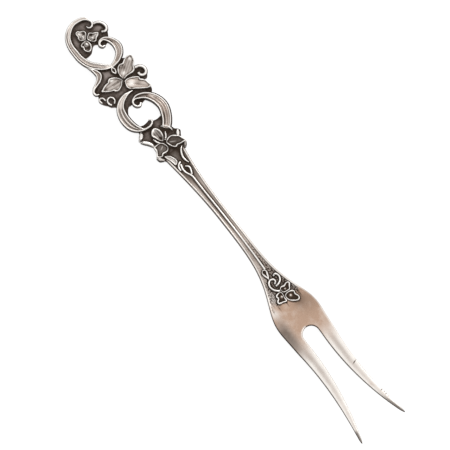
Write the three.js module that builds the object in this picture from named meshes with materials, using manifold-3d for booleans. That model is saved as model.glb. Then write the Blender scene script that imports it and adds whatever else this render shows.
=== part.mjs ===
// Cold meat fork in antique silver: two splayed tines on a broad head, a reeded stem that arches
// up off the table, and a pierced handle of scrolls, leaves and three-petalled blossoms.
// The blank is the handle plate, stem, head and tines. The raised ornament lies on its face.
import * as THREE from 'three';
import { mergeVertices } from 'three/addons/utils/BufferGeometryUtils.js';
import Module from 'manifold-3d';

const wasm = await Module();
wasm.setup();

// Driving lengths, in millimetres, from the crest of the handle to the points of the tines
const HANDLE_LENGTH = 63;
const STEM_LENGTH = 52;
const HEAD_LENGTH = 33;
const TINE_LENGTH = 42;

// Driving widths
const HANDLE_WIDTH = 22;
const STEM_ROOT_WIDTH = 8.4;
const STEM_WAIST_WIDTH = 4.3;
const HEAD_WIDTH = 18.3;
const SLOT_WIDTH = 6.4;
const TINE_ROOT_WIDTH = 5.3;
const TINE_TIP_WIDTH = 0.6;
const TIP_SPREAD = 19.5;

// Places along the fork that can be set by themselves
const WAIST_BEFORE_HEAD = 23;
const CREST_BEFORE_HEAD = 9;
const SHOULDER_BEFORE_TINES = 10;
const SLOT_ROOT_BEFORE_TINES = 5;
const HEEL_BEFORE_TINES = 2;
const RIM_FADE_LENGTH = 22;

// Thicknesses and rises
const PLATE_THICKNESS = 1.3;
const STEM_THICKNESS = 2.2;
const HEAD_THICKNESS = 1.9;
const TIP_THICKNESS = 0.9;
const ARCH_RISE = 6.5;
const TIP_RISE = 4;
const TINE_LEAN_IN = 1.25;
const TINE_FLARE = 3.55;

// Relief, edges and fits
const SCROLL_HEIGHT = 1.2;
const LEAF_HEIGHT = 1.05;
const CURL_HEIGHT = 0.9;
const STEM_RELIEF_HEIGHT = 0.5;
const RIM_WIDTH = 0.75;
const RIM_HEIGHT = 0.45;
const EDGE_CHAMFER = 0.35;
const PLATE_LEDGE = 0.1;
const NEIGHBOUR_GAP = 0.3;
const SEAT_GAP = 0.05;

// Shape exponents and shares that have no length
const WAIST_FLARE_POWER = 2.4;
const TINE_TAPER_POWER = 0.75;
const BAND_END_SHARE = 0.12;
const BAND_END_HEIGHT = 0.6;
const STATION_STEP = 2.5;
const CUTTER_REACH = 20;

// Stations along the fork
const STEM_START = HANDLE_LENGTH;
const HEAD_START = STEM_START + STEM_LENGTH;
const WAIST_AT = HEAD_START - WAIST_BEFORE_HEAD;
const ARCH_CREST_AT = HEAD_START - CREST_BEFORE_HEAD;
const TINES_AT = HEAD_START + HEAD_LENGTH;
const SHOULDER_AT = TINES_AT - SHOULDER_BEFORE_TINES;
const HEEL_AT = TINES_AT - HEEL_BEFORE_TINES;
const FORK_LENGTH = TINES_AT + TINE_LENGTH;
const TINE_OUTER = SLOT_WIDTH / 2 + TINE_ROOT_WIDTH;

// Finishes: bright worn relief, darkened ground, soft worn tines
const BRIGHT_SILVER = { color: 0xb9b2a9, roughness: 0.35, metalness: 1 };
const DARKENED_SILVER = { color: 0x6b655f, roughness: 0.5, metalness: 1 };
const WORN_SILVER = { color: 0xc4beb6, roughness: 0.4, metalness: 1 };

// Sections of the relief, counter-clockwise, as shares of [half width, height]
const FLUTED = [
  [-1, 0], [1, 0], [1, 0.7], [0.88, 0.95], [0.72, 0.9], [0.58, 0.55], [0.32, 0.8],
  [0, 0.95], [-0.32, 0.8], [-0.58, 0.55], [-0.72, 0.9], [-0.88, 0.95], [-1, 0.7],
];
const DISHED = [
  [-1, 0], [1, 0], [0.96, 0.85], [0.8, 1], [0.4, 0.55], [0, 0.7], [-0.4, 0.55], [-0.8, 1], [-0.96, 0.85],
];
const ROUND = [[-1, 0], [1, 0], [1, 0.45], [0.62, 0.88], [0, 1], [-0.62, 0.88], [-1, 0.45]];

// Smooth step from 0 at a to 1 at b
function ease(x, a, b) {
  const share = THREE.MathUtils.clamp((x - a) / (b - a), 0, 1);
  return (1 - Math.cos(Math.PI * share)) / 2;
}

// Height of the fork's back above the table: flat handle, arched stem, heel, lifted points
function backHeight(x) {
  const arch = ease(x, STEM_START, ARCH_CREST_AT) - ease(x, ARCH_CREST_AT, HEEL_AT);
  const lift = Math.max(0, (x - HEEL_AT) / (FORK_LENGTH - HEEL_AT));
  return ARCH_RISE * arch + TIP_RISE * lift * lift;
}

function thickness(x) {
  const stem = (STEM_THICKNESS - PLATE_THICKNESS) * ease(x, STEM_START, WAIST_AT);
  const head = (HEAD_THICKNESS - STEM_THICKNESS) * ease(x, WAIST_AT, SHOULDER_AT);
  const tip = (TIP_THICKNESS - HEAD_THICKNESS) * ease(x, TINES_AT, FORK_LENGTH);
  return PLATE_THICKNESS + stem + head + tip;
}

function faceHeight(x) {
  return backHeight(x) + thickness(x);
}

// Half width of the stem and head: tapers to the waist, flares to the shoulders, meets the tines
function halfWidth(x) {
  const waist = STEM_WAIST_WIDTH / 2;
  if (x < WAIST_AT) {
    const left = (WAIST_AT - x) / (WAIST_AT - STEM_START);
    return waist + (STEM_ROOT_WIDTH / 2 - waist) * left * left;
  }
  const flare = Math.min(1, (x - WAIST_AT) / (SHOULDER_AT - WAIST_AT)) ** WAIST_FLARE_POWER;
  const shoulder = waist + (HEAD_WIDTH / 2 - waist) * ease(flare, 0, 1);
  return shoulder + (TINE_OUTER - HEAD_WIDTH / 2) * ease(x, SHOULDER_AT, TINES_AT);
}

// Closed solid through stations: each holds a place, the direction of its side and its section
function loft(stations) {
  const count = stations[0].section.length;
  const positions = stations.flatMap(({ x, y, side, section }) =>
    section.flatMap(([offset, z]) => [x + side.x * offset, y + side.y * offset, z]));
  const faces = [];
  for (let ring = 0; ring + 1 < stations.length; ring += 1) {
    for (let i = 0; i < count; i += 1) {
      const a = ring * count + i;
      const b = ring * count + (i + 1) % count;
      faces.push(a, b, b + count, a, b + count, a + count);
    }
  }
  const lastRing = (stations.length - 1) * count;
  for (const [a, b, c] of capFaces(stations[0].section)) faces.push(c, b, a);
  for (const [a, b, c] of capFaces(stations.at(-1).section)) {
    faces.push(lastRing + a, lastRing + b, lastRing + c);
  }
  return indexed(new Float32Array(positions), new Uint32Array(faces));
}

function capFaces(section) {
  return THREE.ShapeUtils.triangulateShape(section.map(([offset, z]) => new THREE.Vector2(offset, z)), []);
}

function indexed(positions, faces) {
  const geometry = new THREE.BufferGeometry();
  geometry.setAttribute('position', new THREE.BufferAttribute(positions, 3));
  geometry.setIndex(new THREE.BufferAttribute(faces, 1));
  return geometry;
}

// Flat shape raised from z = low to z = high, with its shared corners merged
function raised(points, low, high) {
  const shape = new THREE.Shape(points.map(([x, y]) => new THREE.Vector2(x, y)));
  const geometry = new THREE.ExtrudeGeometry(shape, { depth: high - low, bevelEnabled: false });
  geometry.translate(0, 0, low);
  geometry.deleteAttribute('normal');
  geometry.deleteAttribute('uv');
  return mergeVertices(geometry);
}

function solid(geometry) {
  const vertProperties = geometry.attributes.position.array;
  const triVerts = Uint32Array.from(geometry.index.array);
  return new wasm.Manifold(new wasm.Mesh({ numProp: 3, vertProperties, triVerts }));
}

function geometryOf(body) {
  const { vertProperties, triVerts } = body.getMesh();
  return indexed(vertProperties, triVerts);
}

function largestBody(body) {
  return body.decompose().reduce((most, next) => (next.volume() > most.volume() ? next : most));
}

// Smooth stroke through rows of [x, y, half width]
function strokeCurve(rows) {
  return new THREE.CatmullRomCurve3(rows.map((row) => new THREE.Vector3(...row)));
}

function strokePoints(rows, stepsPerRow) {
  return strokeCurve(rows).getPoints((rows.length - 1) * stepsPerRow);
}

// Stations along a stroke, grown by a margin all round
function strokeStations(rows, stepsPerRow, margin, sectionOf) {
  const curve = strokeCurve(rows);
  const steps = (rows.length - 1) * stepsPerRow;
  return strokePoints(rows, stepsPerRow).map((point, i) => {
    const travel = i / steps;
    const tangent = curve.getTangent(travel).setZ(0).normalize();
    const side = { x: -tangent.y, y: tangent.x };
    const reach = margin * (Number(i === steps) - Number(i === 0));
    const section = sectionOf(point.z + margin, travel);
    return { x: point.x + tangent.x * reach, y: point.y + tangent.y * reach, side, section };
  });
}

// Section of a raised band, lower at its two ends
function reliefSection(shape, height) {
  return (half, travel) => {
    const inward = Math.min(1, travel / BAND_END_SHARE, (1 - travel) / BAND_END_SHARE);
    const rise = height * (BAND_END_HEIGHT + (1 - BAND_END_HEIGHT) * inward);
    return shape.map(([across, up]) => [across * half, up * rise]);
  };
}

// Section of the plate under a band: flat on the back, with its lower edges chamfered
function plateSection(half) {
  const chamfer = Math.min(EDGE_CHAMFER, half / 2);
  const flat = half - chamfer;
  return [
    [-flat, 0], [flat, 0], [half, chamfer], [half, PLATE_THICKNESS], [-half, PLATE_THICKNESS], [-half, chamfer],
  ];
}

// Section of the space that a band keeps to itself
function clearanceSection(half) {
  return [[-half, -CUTTER_REACH], [half, -CUTTER_REACH], [half, CUTTER_REACH], [-half, CUTTER_REACH]];
}

// Kinds of ornament. Rows are [x, y, half width]; a wire has one half width along [x, y] points
function scroll(name, rows) {
  return { name, rows, shape: FLUTED, height: SCROLL_HEIGHT, stepsPerRow: 2 };
}

function leaf(name, rows) {
  return { name, rows, shape: DISHED, height: LEAF_HEIGHT, stepsPerRow: 2 };
}

function bead(name, rows) {
  return { name, rows, shape: ROUND, height: CURL_HEIGHT, stepsPerRow: 2 };
}

function wire(name, half, points) {
  return { ...bead(name, points.map(([x, y]) => [x, y, half])), stepsPerRow: 3 };
}

// Handle ornament as drawn: x from the crest towards the tines, y across. Upper pieces come first
const handleDrawing = [
  leaf('crest_petal_upper', [
    [9, -0.1, 0.6], [9.2, 0.7, 1.5], [9.25, 1.6, 1.9], [9.2, 2.6, 1.5], [9.15, 3.5, 0.95], [9.1, 4.4, 0.35]]),
  leaf('crest_petal_left', [
    [8, -1, 0.6], [7.2, -1, 1.5], [6.2, -0.9, 1.85], [5.2, -1.2, 1.4], [4.3, -1.7, 0.5]]),
  leaf('crest_petal_right', [
    [9.4, -1, 0.6], [10.1, -1.6, 1.5], [11, -2.1, 1.85], [12, -2.7, 1.5], [12.9, -3.2, 0.6]]),
  leaf('middle_leaf_upper', [
    [28.4, 1.6, 0.5], [27.2, 2.6, 2.2], [26.3, 4.3, 2.9], [25.8, 5.9, 2.7], [24.9, 7.4, 1.9], [23.9, 8.7, 0.9]]),
  leaf('middle_leaf_right', [
    [30, 1.2, 0.5], [31, 2.2, 1.7], [32.3, 3.7, 2.2], [33.7, 5.2, 2], [35.2, 6.7, 1.3], [36.6, 7.9, 0.4]]),
  leaf('middle_leaf_lower', [
    [28.7, 0.6, 0.4], [28.6, -0.6, 1.5], [28.5, -2.2, 2.7], [28.4, -3.3, 2.75], [28.3, -4.2, 2],
    [28.2, -5.3, 1.75], [28, -6.6, 1.1], [27.9, -7.9, 0.35]]),
  leaf('throat_petal_left', [
    [55.9, -0.9, 0.4], [54.9, -0.9, 1.2], [53.6, -0.95, 1.9], [52.4, -1, 2], [51.3, -1, 1.3], [50.5, -1, 0.45]]),
  leaf('throat_petal_upper', [
    [57.3, 0.3, 0.4], [57.7, 1.3, 1.4], [58.4, 2.7, 2.15], [59.2, 4.1, 1.8], [60, 5.2, 1.1], [60.6, 6, 0.35]]),
  leaf('throat_petal_lower', [
    [57.5, -0.9, 0.4], [57.9, -1.9, 1.3], [58.5, -3.1, 1.9], [59.1, -4.3, 1.6], [59.6, -5.3, 0.9],
    [59.9, -6, 0.35]]),
  wire('ring_collar', 0.3, [[51.2, 2.1], [51.8, 3.3], [53.1, 4.1], [54.8, 4.5]]),
  scroll('upper_left_scroll', [
    [4.7, 2.3, 0.25], [5.4, 2.45, 0.35], [5.85, 3.2, 0.4], [5.5, 4.2, 0.45], [4.3, 4.75, 0.5], [2.6, 4.1, 0.65],
    [1.55, 2.9, 0.75], [0.95, 0.4, 0.85], [1.1, -1.7, 0.9], [2.2, -3.9, 1.05], [4.2, -5.8, 1.2],
    [7.2, -6.75, 1.35], [10.5, -6.75, 1.5], [13.5, -6.3, 1.7], [17, -5.1, 1.6], [19.5, -3.2, 1.35],
    [21.2, -1.2, 1], [22.1, 0.6, 0.4]]),
  scroll('upper_right_scroll', [
    [22.2, 0.8, 0.3], [22.1, 2.4, 0.6], [21.3, 4.3, 0.95], [19.7, 6.2, 1.4], [17.6, 7.1, 1.65], [15.4, 6.9, 1.4],
    [13.4, 5.9, 1], [12.1, 4.4, 0.6], [12.15, 2.9, 0.5], [13.2, 2, 0.5], [14.3, 2.5, 0.45], [14.4, 3.4, 0.35]]),
  scroll('branch_scroll', [
    [15.5, -7.5, 0.15], [18, -6.1, 0.45], [20.3, -5.4, 0.75], [22.3, -5.2, 1], [23.8, -6.3, 0.9], [24.7, -8, 0.7],
    [25.4, -9.5, 0.55], [26.5, -10.4, 0.45], [27.6, -10.2, 0.4], [28, -9.3, 0.3]]),
  scroll('ring_right_scroll', [
    [52.8, 3.7, 1.5], [50.6, 5.1, 1.8], [48.2, 6.6, 1.9], [45.6, 7.4, 1.9], [42.9, 7.05, 1.9], [40.4, 5.9, 1.75],
    [38.5, 4.1, 1.45], [37.3, 2, 1], [36.95, 0.2, 0.6], [37.7, -1.1, 0.5], [39.1, -1.25, 0.5], [40.2, -0.4, 0.45],
    [40.3, 0.9, 0.35]]),
  scroll('ring_left_scroll', [
    [34.6, 1.6, 0.15], [34.2, 0, 0.65], [34.4, -1.9, 1], [35.3, -4, 1.35], [37.2, -6, 1.65], [39.8, -7, 1.85],
    [42.3, -7.2, 1.85], [44.9, -6.7, 1.75], [47, -5.4, 1.4], [48.4, -3.2, 0.85], [48.8, -1.2, 0.5],
    [48.2, 0.35, 0.42], [47.2, 0.6, 0.4], [46.6, -0.1, 0.3]]),
  leaf('bud', [[22.9, 0.6, 0.3], [23.5, 0.6, 0.7], [24.3, 0.45, 0.85], [25.1, 0.4, 0.7], [25.8, 0.3, 0.25]]),
  wire('crest_curl', 0.42, [[5.9, 5.4], [6.1, 6.6], [7.2, 7.8], [9, 8.05], [10.2, 7.1], [10, 6], [9.1, 5.7]]),
  wire('middle_upper_curl', 0.43, [
    [27.9, 7.5], [28.5, 9.1], [29.8, 10.35], [31.2, 10.3], [31.9, 9.1], [31.5, 8], [30.5, 7.7]]),
  wire('middle_lower_curl_large', 0.38, [
    [33.4, -5.8], [32.3, -5.5], [31.1, -6.5], [31.2, -7.9], [32.4, -8.5], [33.6, -8.1], [34.1, -7.3]]),
  wire('middle_lower_curl_small', 0.33, [[31.8, -9.1], [30.6, -8.8], [29.6, -9.5], [30, -10.3], [30.9, -10.3]]),
  wire('throat_sepal_upper', 0.35, [[56.1, 0.4], [55.2, 1.4], [53.9, 2.1]]),
  wire('throat_sepal_lower', 0.35, [[56.3, -2.1], [55.2, -2.9], [53.7, -3.3]]),
  bead('throat_bead', [[57.9, 5, 0.4], [57.2, 5.5, 0.8], [56.5, 6, 0.75], [55.9, 6.4, 0.35]]),
  bead('throat_leaf_lower', [
    [56.6, -4.6, 0.4], [55.2, -4.9, 0.65], [53.7, -5.7, 0.75], [52.6, -6.7, 0.7], [51.9, -7.5, 0.4]]),
  wire('throat_leaf_corner', 0.5, [[48.9, -5.5], [49.8, -5.7], [50.5, -6.6], [50.9, -7.7]]),
  bead('throat_knob_upper', [[61, 5.9, 0.35], [61.7, 5.4, 0.55], [62.5, 4.7, 0.4]]),
  bead('throat_knob_lower', [[60.5, -6.2, 0.4], [61.2, -5.6, 0.6], [62, -4.8, 0.4]]),
];

// Ground of the handle between the ornament, pierced where these fields leave it open
const handleGround = [
  [[1.3, 0.3], [1.9, 2.8], [2.9, 3.8], [4.4, 4.5], [5.6, 4.6], [6.1, 6.4], [7.2, 7.7], [9, 7.9], [11.3, 7.2],
    [12.8, 6], [12.1, 4.4], [12.2, 2.9], [12.6, 1.9], [12, 0.9], [12, 0], [13.9, -2.4], [13.8, -5.5],
    [10.5, -6.5], [7.2, -6.5], [4.4, -5.5], [2.5, -3.8], [1.5, -1.7]],
  [[12.4, 4.3], [12.4, 2.9], [13.2, 2.1], [14.2, 2.6], [14.4, 3.4], [14.1, 4.6], [13.6, 5.9]],
  [[22.1, 1], [21.6, 4], [22.3, 6.4], [24, 7.5], [28.1, 8], [28.7, 9.2], [29.9, 10.2], [31.2, 10.1], [31.8, 9],
    [32.6, 7.9], [34, 7], [36.6, 7.6], [37.8, 6.5], [38.6, 5.2], [37.8, 3], [37, 1], [37.1, -0.2], [37.9, -1.2],
    [38.4, -2.2], [38.9, -5.4], [37.2, -6], [35.4, -7.2], [34.6, -8.3], [33.2, -8.9], [32.6, -9.6],
    [31.4, -10.3], [29.3, -10.2], [28.4, -9.9], [26.5, -10.2], [25.4, -9.4], [24.7, -7.9], [23.8, -6.2],
    [22.3, -5.1], [20.3, -5], [19.8, -3.6], [21.2, -1.4]],
  [[37.4, 2], [37.2, 0.2], [37.8, -0.9], [39.1, -1.1], [40, -0.3], [40.2, 0.9], [39.9, 1.6], [39.4, 3.6],
    [38.6, 3.8]],
  [[46.7, -0.2], [47.2, 0.5], [48.2, 0.2], [48.7, -1.3], [48.3, -3.2], [47.6, -4], [47.2, -2.8], [46.9, -1.4]],
];
const throatGround = [
  [62.5, 4.7], [61.7, 5.5], [60.6, 6], [58.9, 5.5], [57.4, 5.9], [56.2, 6.3], [55.5, 5.4], [54.6, 4.8],
  [52.6, 4.4], [50.6, 5.3], [47.9, 6], [48, 2.5], [47.8, 0.7], [48.5, 0.2], [48.9, -1.2], [48.5, -3.2],
  [47.4, -5.2], [48.5, -6.1], [49.8, -6.1], [51.2, -7.7], [51.8, -7.5], [52.6, -6.7], [53.7, -5.7],
  [55.2, -4.9], [57, -4.9], [58.6, -5.6], [60.2, -6.2], [61.2, -5.6], [62.2, -4.7],
];

// The drawing ends where its last throat piece does, and spans its outermost curls
const drawnPoints = handleDrawing.flatMap(({ rows, stepsPerRow }) => strokePoints(rows, stepsPerRow));
const drawnLow = Math.min(...drawnPoints.map(({ y, z: half }) => y - half));
const drawnHigh = Math.max(...drawnPoints.map(({ y, z: half }) => y + half));
const drawnLength = Math.max(...drawnPoints.map(({ x, z: half }) => x + half));
const stretchAlong = (HANDLE_LENGTH - PLATE_LEDGE) / drawnLength;
const stretchAcross = (HANDLE_WIDTH - 2 * PLATE_LEDGE) / (drawnHigh - drawnLow);

// A drawn row on the handle: stretched to its length and width, and centred on the fork's axis
function onHandle([x, y, ...half]) {
  return [x * stretchAlong, (y - (drawnLow + drawnHigh) / 2) * stretchAcross, ...half];
}

// Stem ornament: x from the start of the stem. The reed runs on to the drop on the head
const stemDrawing = [
  bead('stem_leaf_upper', [
    [-1.2, 3.6, 0.2], [0.2, 2.5, 0.4], [1.8, 1.9, 0.45], [3.4, 1.85, 0.4], [5, 2.3, 0.2]]),
  bead('stem_leaf_lower', [
    [-1.8, -3.7, 0.3], [-0.8, -2.7, 0.6], [0.6, -1.9, 0.6], [2, -1.5, 0.5], [2.7, -1.6, 0.2]]),
  wire('stem_leaf_small', 0.3, [[3, -0.6], [3.4, -1.5], [4.3, -2.3], [5.7, -2.2]]),
  wire('stem_tear', 0.3, [[5.6, 0.1], [6.4, 0.95], [7.6, 1], [8.7, 0.35]]),
];
const reedStart = [[4.2, -0.7], [6, -1.3], [7.5, -1.3], [9, -0.65], [10.5, -0.3], [13, -0.1]];

// Head ornament: x from the start of the head, between the shoulders
const headDrawing = [
  leaf('head_drop', [[1.2, -0.85, 0.5], [2, -0.85, 1], [3, -0.8, 0.95], [4.2, -0.7, 0.5], [5.4, -0.6, 0.25]]),
  leaf('head_petal_left', [
    [12.8, 0.9, 0.4], [12.2, 1.9, 1.2], [11.7, 2.9, 1.5], [11.2, 3.8, 0.95], [10.9, 4.4, 0.35]]),
  leaf('head_petal_right', [
    [13.6, 1, 0.4], [14.7, 1.8, 1.4], [15.9, 2.7, 1.8], [17.1, 3.6, 1.2], [18, 4.3, 0.4]]),
  leaf('head_petal_lower', [
    [13.4, 0.2, 0.4], [13.6, -0.6, 1.4], [13.9, -1.5, 1.95], [14.1, -2.4, 1.4], [14.3, -3.2, 0.5]]),
  wire('head_curl_large', 0.35, [
    [11.2, -0.5], [10, -1.8], [8.3, -2.3], [6.5, -1.9], [5.9, -0.7], [6.3, 0.35], [7.1, 0.55], [7.8, 0.1]]),
  wire('head_curl_small', 0.35, [
    [8.9, 0.2], [8.9, 1.4], [8.2, 2.5], [6.8, 2.85], [5.6, 2.3], [5.2, 1.6], [5.6, 1.2]]),
];

function alongFrom(start) {
  return ([x, y, half]) => [x + start, y, half];
}

function stemReed() {
  const straightStart = STEM_START + reedStart.at(-1)[0];
  const straight = HEAD_START - straightStart;
  const rows = Math.ceil(straight / (2 * STATION_STEP));
  const run = Array.from({ length: rows }, (_, i) => [(straight * (i + 1)) / rows + reedStart.at(-1)[0], 0]);
  return wire('stem_reed', 0.32, [...reedStart, ...run]);
}

// Every raised piece, in the order it is laid
const relief = [
  ...handleDrawing.map((piece) => ({ ...piece, rows: piece.rows.map(onHandle), seat: 'plate' })),
  ...headDrawing.map((piece) => ({ ...piece, rows: piece.rows.map(alongFrom(HEAD_START)), seat: 'curved' })),
  ...[...stemDrawing, stemReed()].map((piece) => (
    { ...piece, rows: piece.rows.map(alongFrom(STEM_START)), seat: 'curved' })),
].map((piece) => (piece.seat === 'curved' ? { ...piece, height: STEM_RELIEF_HEIGHT } : piece));

// Raised piece, cut back from the pieces laid before it and set on the face of the blank
const laidSpaces = [];
function reliefGeometry({ rows, shape, height, stepsPerRow, seat }) {
  const whole = solid(loft(strokeStations(rows, stepsPerRow, 0, reliefSection(shape, height))));
  const cut = laidSpaces.reduce((rest, space) => rest.subtract(space), whole);
  laidSpaces.push(solid(loft(strokeStations(rows, stepsPerRow, NEIGHBOUR_GAP, clearanceSection))));
  const geometry = geometryOf(largestBody(cut));
  const position = geometry.attributes.position;
  for (let i = 0; i < position.count; i += 1) {
    const seatHeight = seat === 'plate' ? PLATE_THICKNESS : faceHeight(position.getX(i)) + SEAT_GAP;
    position.setZ(i, position.getZ(i) + seatHeight);
  }
  return geometry;
}

// Pierced plate: the footprints of the handle's ornament joined with the fields of ground
function handlePlateGeometry() {
  const footprints = relief.filter(({ seat }) => seat === 'plate').map(({ rows, stepsPerRow }) => (
    solid(loft(strokeStations(rows, stepsPerRow, PLATE_LEDGE, plateSection)))));
  const rootHalf = STEM_ROOT_WIDTH / 2;
  const throat = [[STEM_START, -rootHalf], [STEM_START, rootHalf], ...throatGround.map(onHandle)];
  const fields = [...handleGround.map((field) => field.map(onHandle)), throat];
  const ground = fields.map((field) => solid(raised(field, 0, PLATE_THICKNESS)));
  return geometryOf([...footprints, ...ground].reduce((plate, next) => plate.add(next)));
}

// Places from a to b, about one station step apart
function placesBetween(a, b) {
  const steps = Math.ceil((b - a) / STATION_STEP);
  return Array.from({ length: steps + 1 }, (_, i) => THREE.MathUtils.lerp(a, b, i / steps));
}

// Section of the stem or head: chamfered back, flat channel and a bead along each edge
function stemStation(x) {
  const half = halfWidth(x);
  const back = backHeight(x);
  const face = faceHeight(x);
  const bead = face + RIM_HEIGHT * (1 - ease(x, HEAD_START, HEAD_START + RIM_FADE_LENGTH));
  const edge = (face + bead) / 2;
  const flat = half - EDGE_CHAMFER;
  const crestOuter = half - RIM_WIDTH / 3;
  const crestInner = half - (2 * RIM_WIDTH) / 3;
  const channel = half - RIM_WIDTH;
  const low = back + EDGE_CHAMFER;
  const section = [
    [-flat, back], [flat, back], [half, low], [half, edge], [crestOuter, bead], [crestInner, bead],
    [channel, face], [-channel, face], [-crestInner, bead], [-crestOuter, bead], [-half, edge], [-half, low],
  ];
  return { x, y: 0, side: { x: 0, y: 1 }, section };
}

function stemGeometry() {
  return loft(placesBetween(STEM_START, HEAD_START).map(stemStation));
}

// Head with the slot between the tines cut into its front, round at the root
function headGeometry() {
  const head = solid(loft(placesBetween(HEAD_START, TINES_AT).map(stemStation)));
  const radius = SLOT_WIDTH / 2;
  const rootCentre = TINES_AT - SLOT_ROOT_BEFORE_TINES + radius;
  const root = new THREE.Path();
  root.absarc(rootCentre, 0, radius, Math.PI / 2, (3 * Math.PI) / 2);
  const front = TINES_AT + CUTTER_REACH;
  const outline = [...root.getPoints(20).map(({ x, y }) => [x, y]), [front, -radius], [front, radius]];
  return geometryOf(head.subtract(solid(raised(outline, -CUTTER_REACH, CUTTER_REACH))));
}

// Tine: leans in a little, then sweeps out to its point, with its edges chamfered
function tineGeometry(hand) {
  const root = SLOT_WIDTH / 2 + TINE_ROOT_WIDTH / 2;
  const tip = TIP_SPREAD / 2;
  const rootHalf = TINE_ROOT_WIDTH / 2;
  const tipHalf = TINE_TIP_WIDTH / 2;
  const sweep = [root, root - TINE_LEAN_IN, tip - TINE_FLARE, tip];
  return loft(placesBetween(TINES_AT, FORK_LENGTH).map((x) => {
    const travel = Math.min(1, (x - TINES_AT) / TINE_LENGTH);
    const half = tipHalf + (rootHalf - tipHalf) * (1 - travel) ** TINE_TAPER_POWER;
    const centre = bezier(sweep, travel) * hand;
    const back = backHeight(x);
    const face = faceHeight(x);
    const chamfer = Math.min(EDGE_CHAMFER, half / 2, (face - back) / 3);
    const flat = half - chamfer;
    const section = [
      [-flat, back], [flat, back], [half, back + chamfer], [half, face - chamfer],
      [flat, face], [-flat, face], [-half, face - chamfer], [-half, back + chamfer],
    ];
    return { x, y: centre, side: { x: 0, y: 1 }, section };
  }));
}

function bezier([a, b, c, d], t) {
  const s = 1 - t;
  return s ** 3 * a + 3 * s * s * t * b + 3 * s * t * t * c + t ** 3 * d;
}

// The whole fork, with its origin under the middle of its box
const fork = new THREE.Group();
fork.position.x = -FORK_LENGTH / 2;

function place(name, geometry, finish) {
  const mesh = new THREE.Mesh(geometry, new THREE.MeshStandardMaterial(finish));
  mesh.name = name;
  fork.add(mesh);
}

place('handle_plate', handlePlateGeometry(), DARKENED_SILVER);
for (const piece of relief) place(piece.name, reliefGeometry(piece), BRIGHT_SILVER);
place('stem', stemGeometry(), BRIGHT_SILVER);
place('head', headGeometry(), WORN_SILVER);
place('tine_left', tineGeometry(1), WORN_SILVER);
place('tine_right', tineGeometry(-1), WORN_SILVER);

export default fork;
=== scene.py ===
from collections import namedtuple

import bmesh
import bpy
import numpy as np
from mathutils import Matrix, Vector


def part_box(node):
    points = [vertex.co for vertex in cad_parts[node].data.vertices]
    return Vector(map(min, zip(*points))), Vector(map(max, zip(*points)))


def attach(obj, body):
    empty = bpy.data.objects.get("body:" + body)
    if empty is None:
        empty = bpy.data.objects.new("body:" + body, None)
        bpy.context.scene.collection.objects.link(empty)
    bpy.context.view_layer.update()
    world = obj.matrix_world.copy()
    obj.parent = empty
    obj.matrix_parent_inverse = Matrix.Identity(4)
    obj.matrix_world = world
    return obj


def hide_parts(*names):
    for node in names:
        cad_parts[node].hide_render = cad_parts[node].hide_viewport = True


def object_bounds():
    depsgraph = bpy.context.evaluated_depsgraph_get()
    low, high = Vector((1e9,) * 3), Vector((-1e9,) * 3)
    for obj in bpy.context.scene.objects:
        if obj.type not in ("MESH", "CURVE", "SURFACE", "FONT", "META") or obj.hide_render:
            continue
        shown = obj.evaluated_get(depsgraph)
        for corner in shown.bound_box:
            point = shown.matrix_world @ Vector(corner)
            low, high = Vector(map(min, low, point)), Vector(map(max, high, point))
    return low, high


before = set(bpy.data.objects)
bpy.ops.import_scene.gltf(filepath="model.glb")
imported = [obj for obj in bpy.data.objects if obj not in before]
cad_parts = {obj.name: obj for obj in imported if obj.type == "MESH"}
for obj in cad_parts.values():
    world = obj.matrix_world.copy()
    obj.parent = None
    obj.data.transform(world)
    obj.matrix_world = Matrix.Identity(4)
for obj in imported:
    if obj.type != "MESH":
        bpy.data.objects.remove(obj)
cad_low, cad_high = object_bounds()

# Scrolls of the handle: the two rings round the piercings and the branch between them.
# They are struck up by the die as reeded bands with a bead along each edge, thin where they curl, and are
# worn bright along their beads, with tarnish left in the grooves and on the walls, and painted shade on
# walls and ledges.
MM = 0.001
CREST_AT = cad_low.x / MM
PLATE_THICKNESS = 1.3
BACK_CLEARANCE = 0.03


def ease(x, start, end):
    """Smooth step: half a cosine wave from 0 at start to 1 at end."""
    share = np.clip((x - start) / (end - start), 0, 1)
    return (1 - np.cos(np.pi * share)) / 2


def bump(x, middle, spread):
    """Bell of height 1 at the middle: e to minus the square of the distance over the spread."""
    return np.exp(-((x - middle) / spread) ** 2)


def rounding(distance, radius):
    """Drop of a rounded edge: a quarter circle of that radius, nothing further in."""
    inward = np.clip(radius - distance, 0, radius)
    return radius - np.sqrt(radius**2 - inward**2)


def quads(rows, columns, closed):
    """Faces between neighbours of a grid numbered row by row; closed joins the last column to the first."""
    number = np.arange(rows * columns).reshape(rows, columns)
    here, beside = (number, np.roll(number, -1, 1)) if closed else (number[:, :-1], number[:, 1:])
    return np.stack([here[:-1], beside[:-1], beside[1:], here[1:]], -1).reshape(-1, 4)


def end_faces(rows, columns):
    """Faces that close the first and the last row of a grid of closed rows."""
    return np.arange(columns)[None] + np.array([[0], [(rows - 1) * columns]])


def node(tree, kind, sockets, **choices):
    """Adds a node with its choices set; each socket takes a number, a colour or the socket that feeds it."""
    made = tree.nodes.new(kind)
    for title, choice in choices.items():
        setattr(made, title, choice)
    by_name = {socket.identifier: socket for socket in made.inputs}
    for title, value in sockets.items():
        if isinstance(value, bpy.types.NodeSocket):
            tree.links.new(value, by_name[title])
        else:
            by_name[title].default_value = value
    return made


def mix_colour(tree, share, first, second):
    """Colour between the first and the second by a share."""
    sockets = {"Factor_Float": share, "A_Color": first, "B_Color": second}
    mixed = node(tree, "ShaderNodeMix", sockets, data_type="RGBA")
    return next(socket for socket in mixed.outputs if socket.identifier == "Result_Color")


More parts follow.
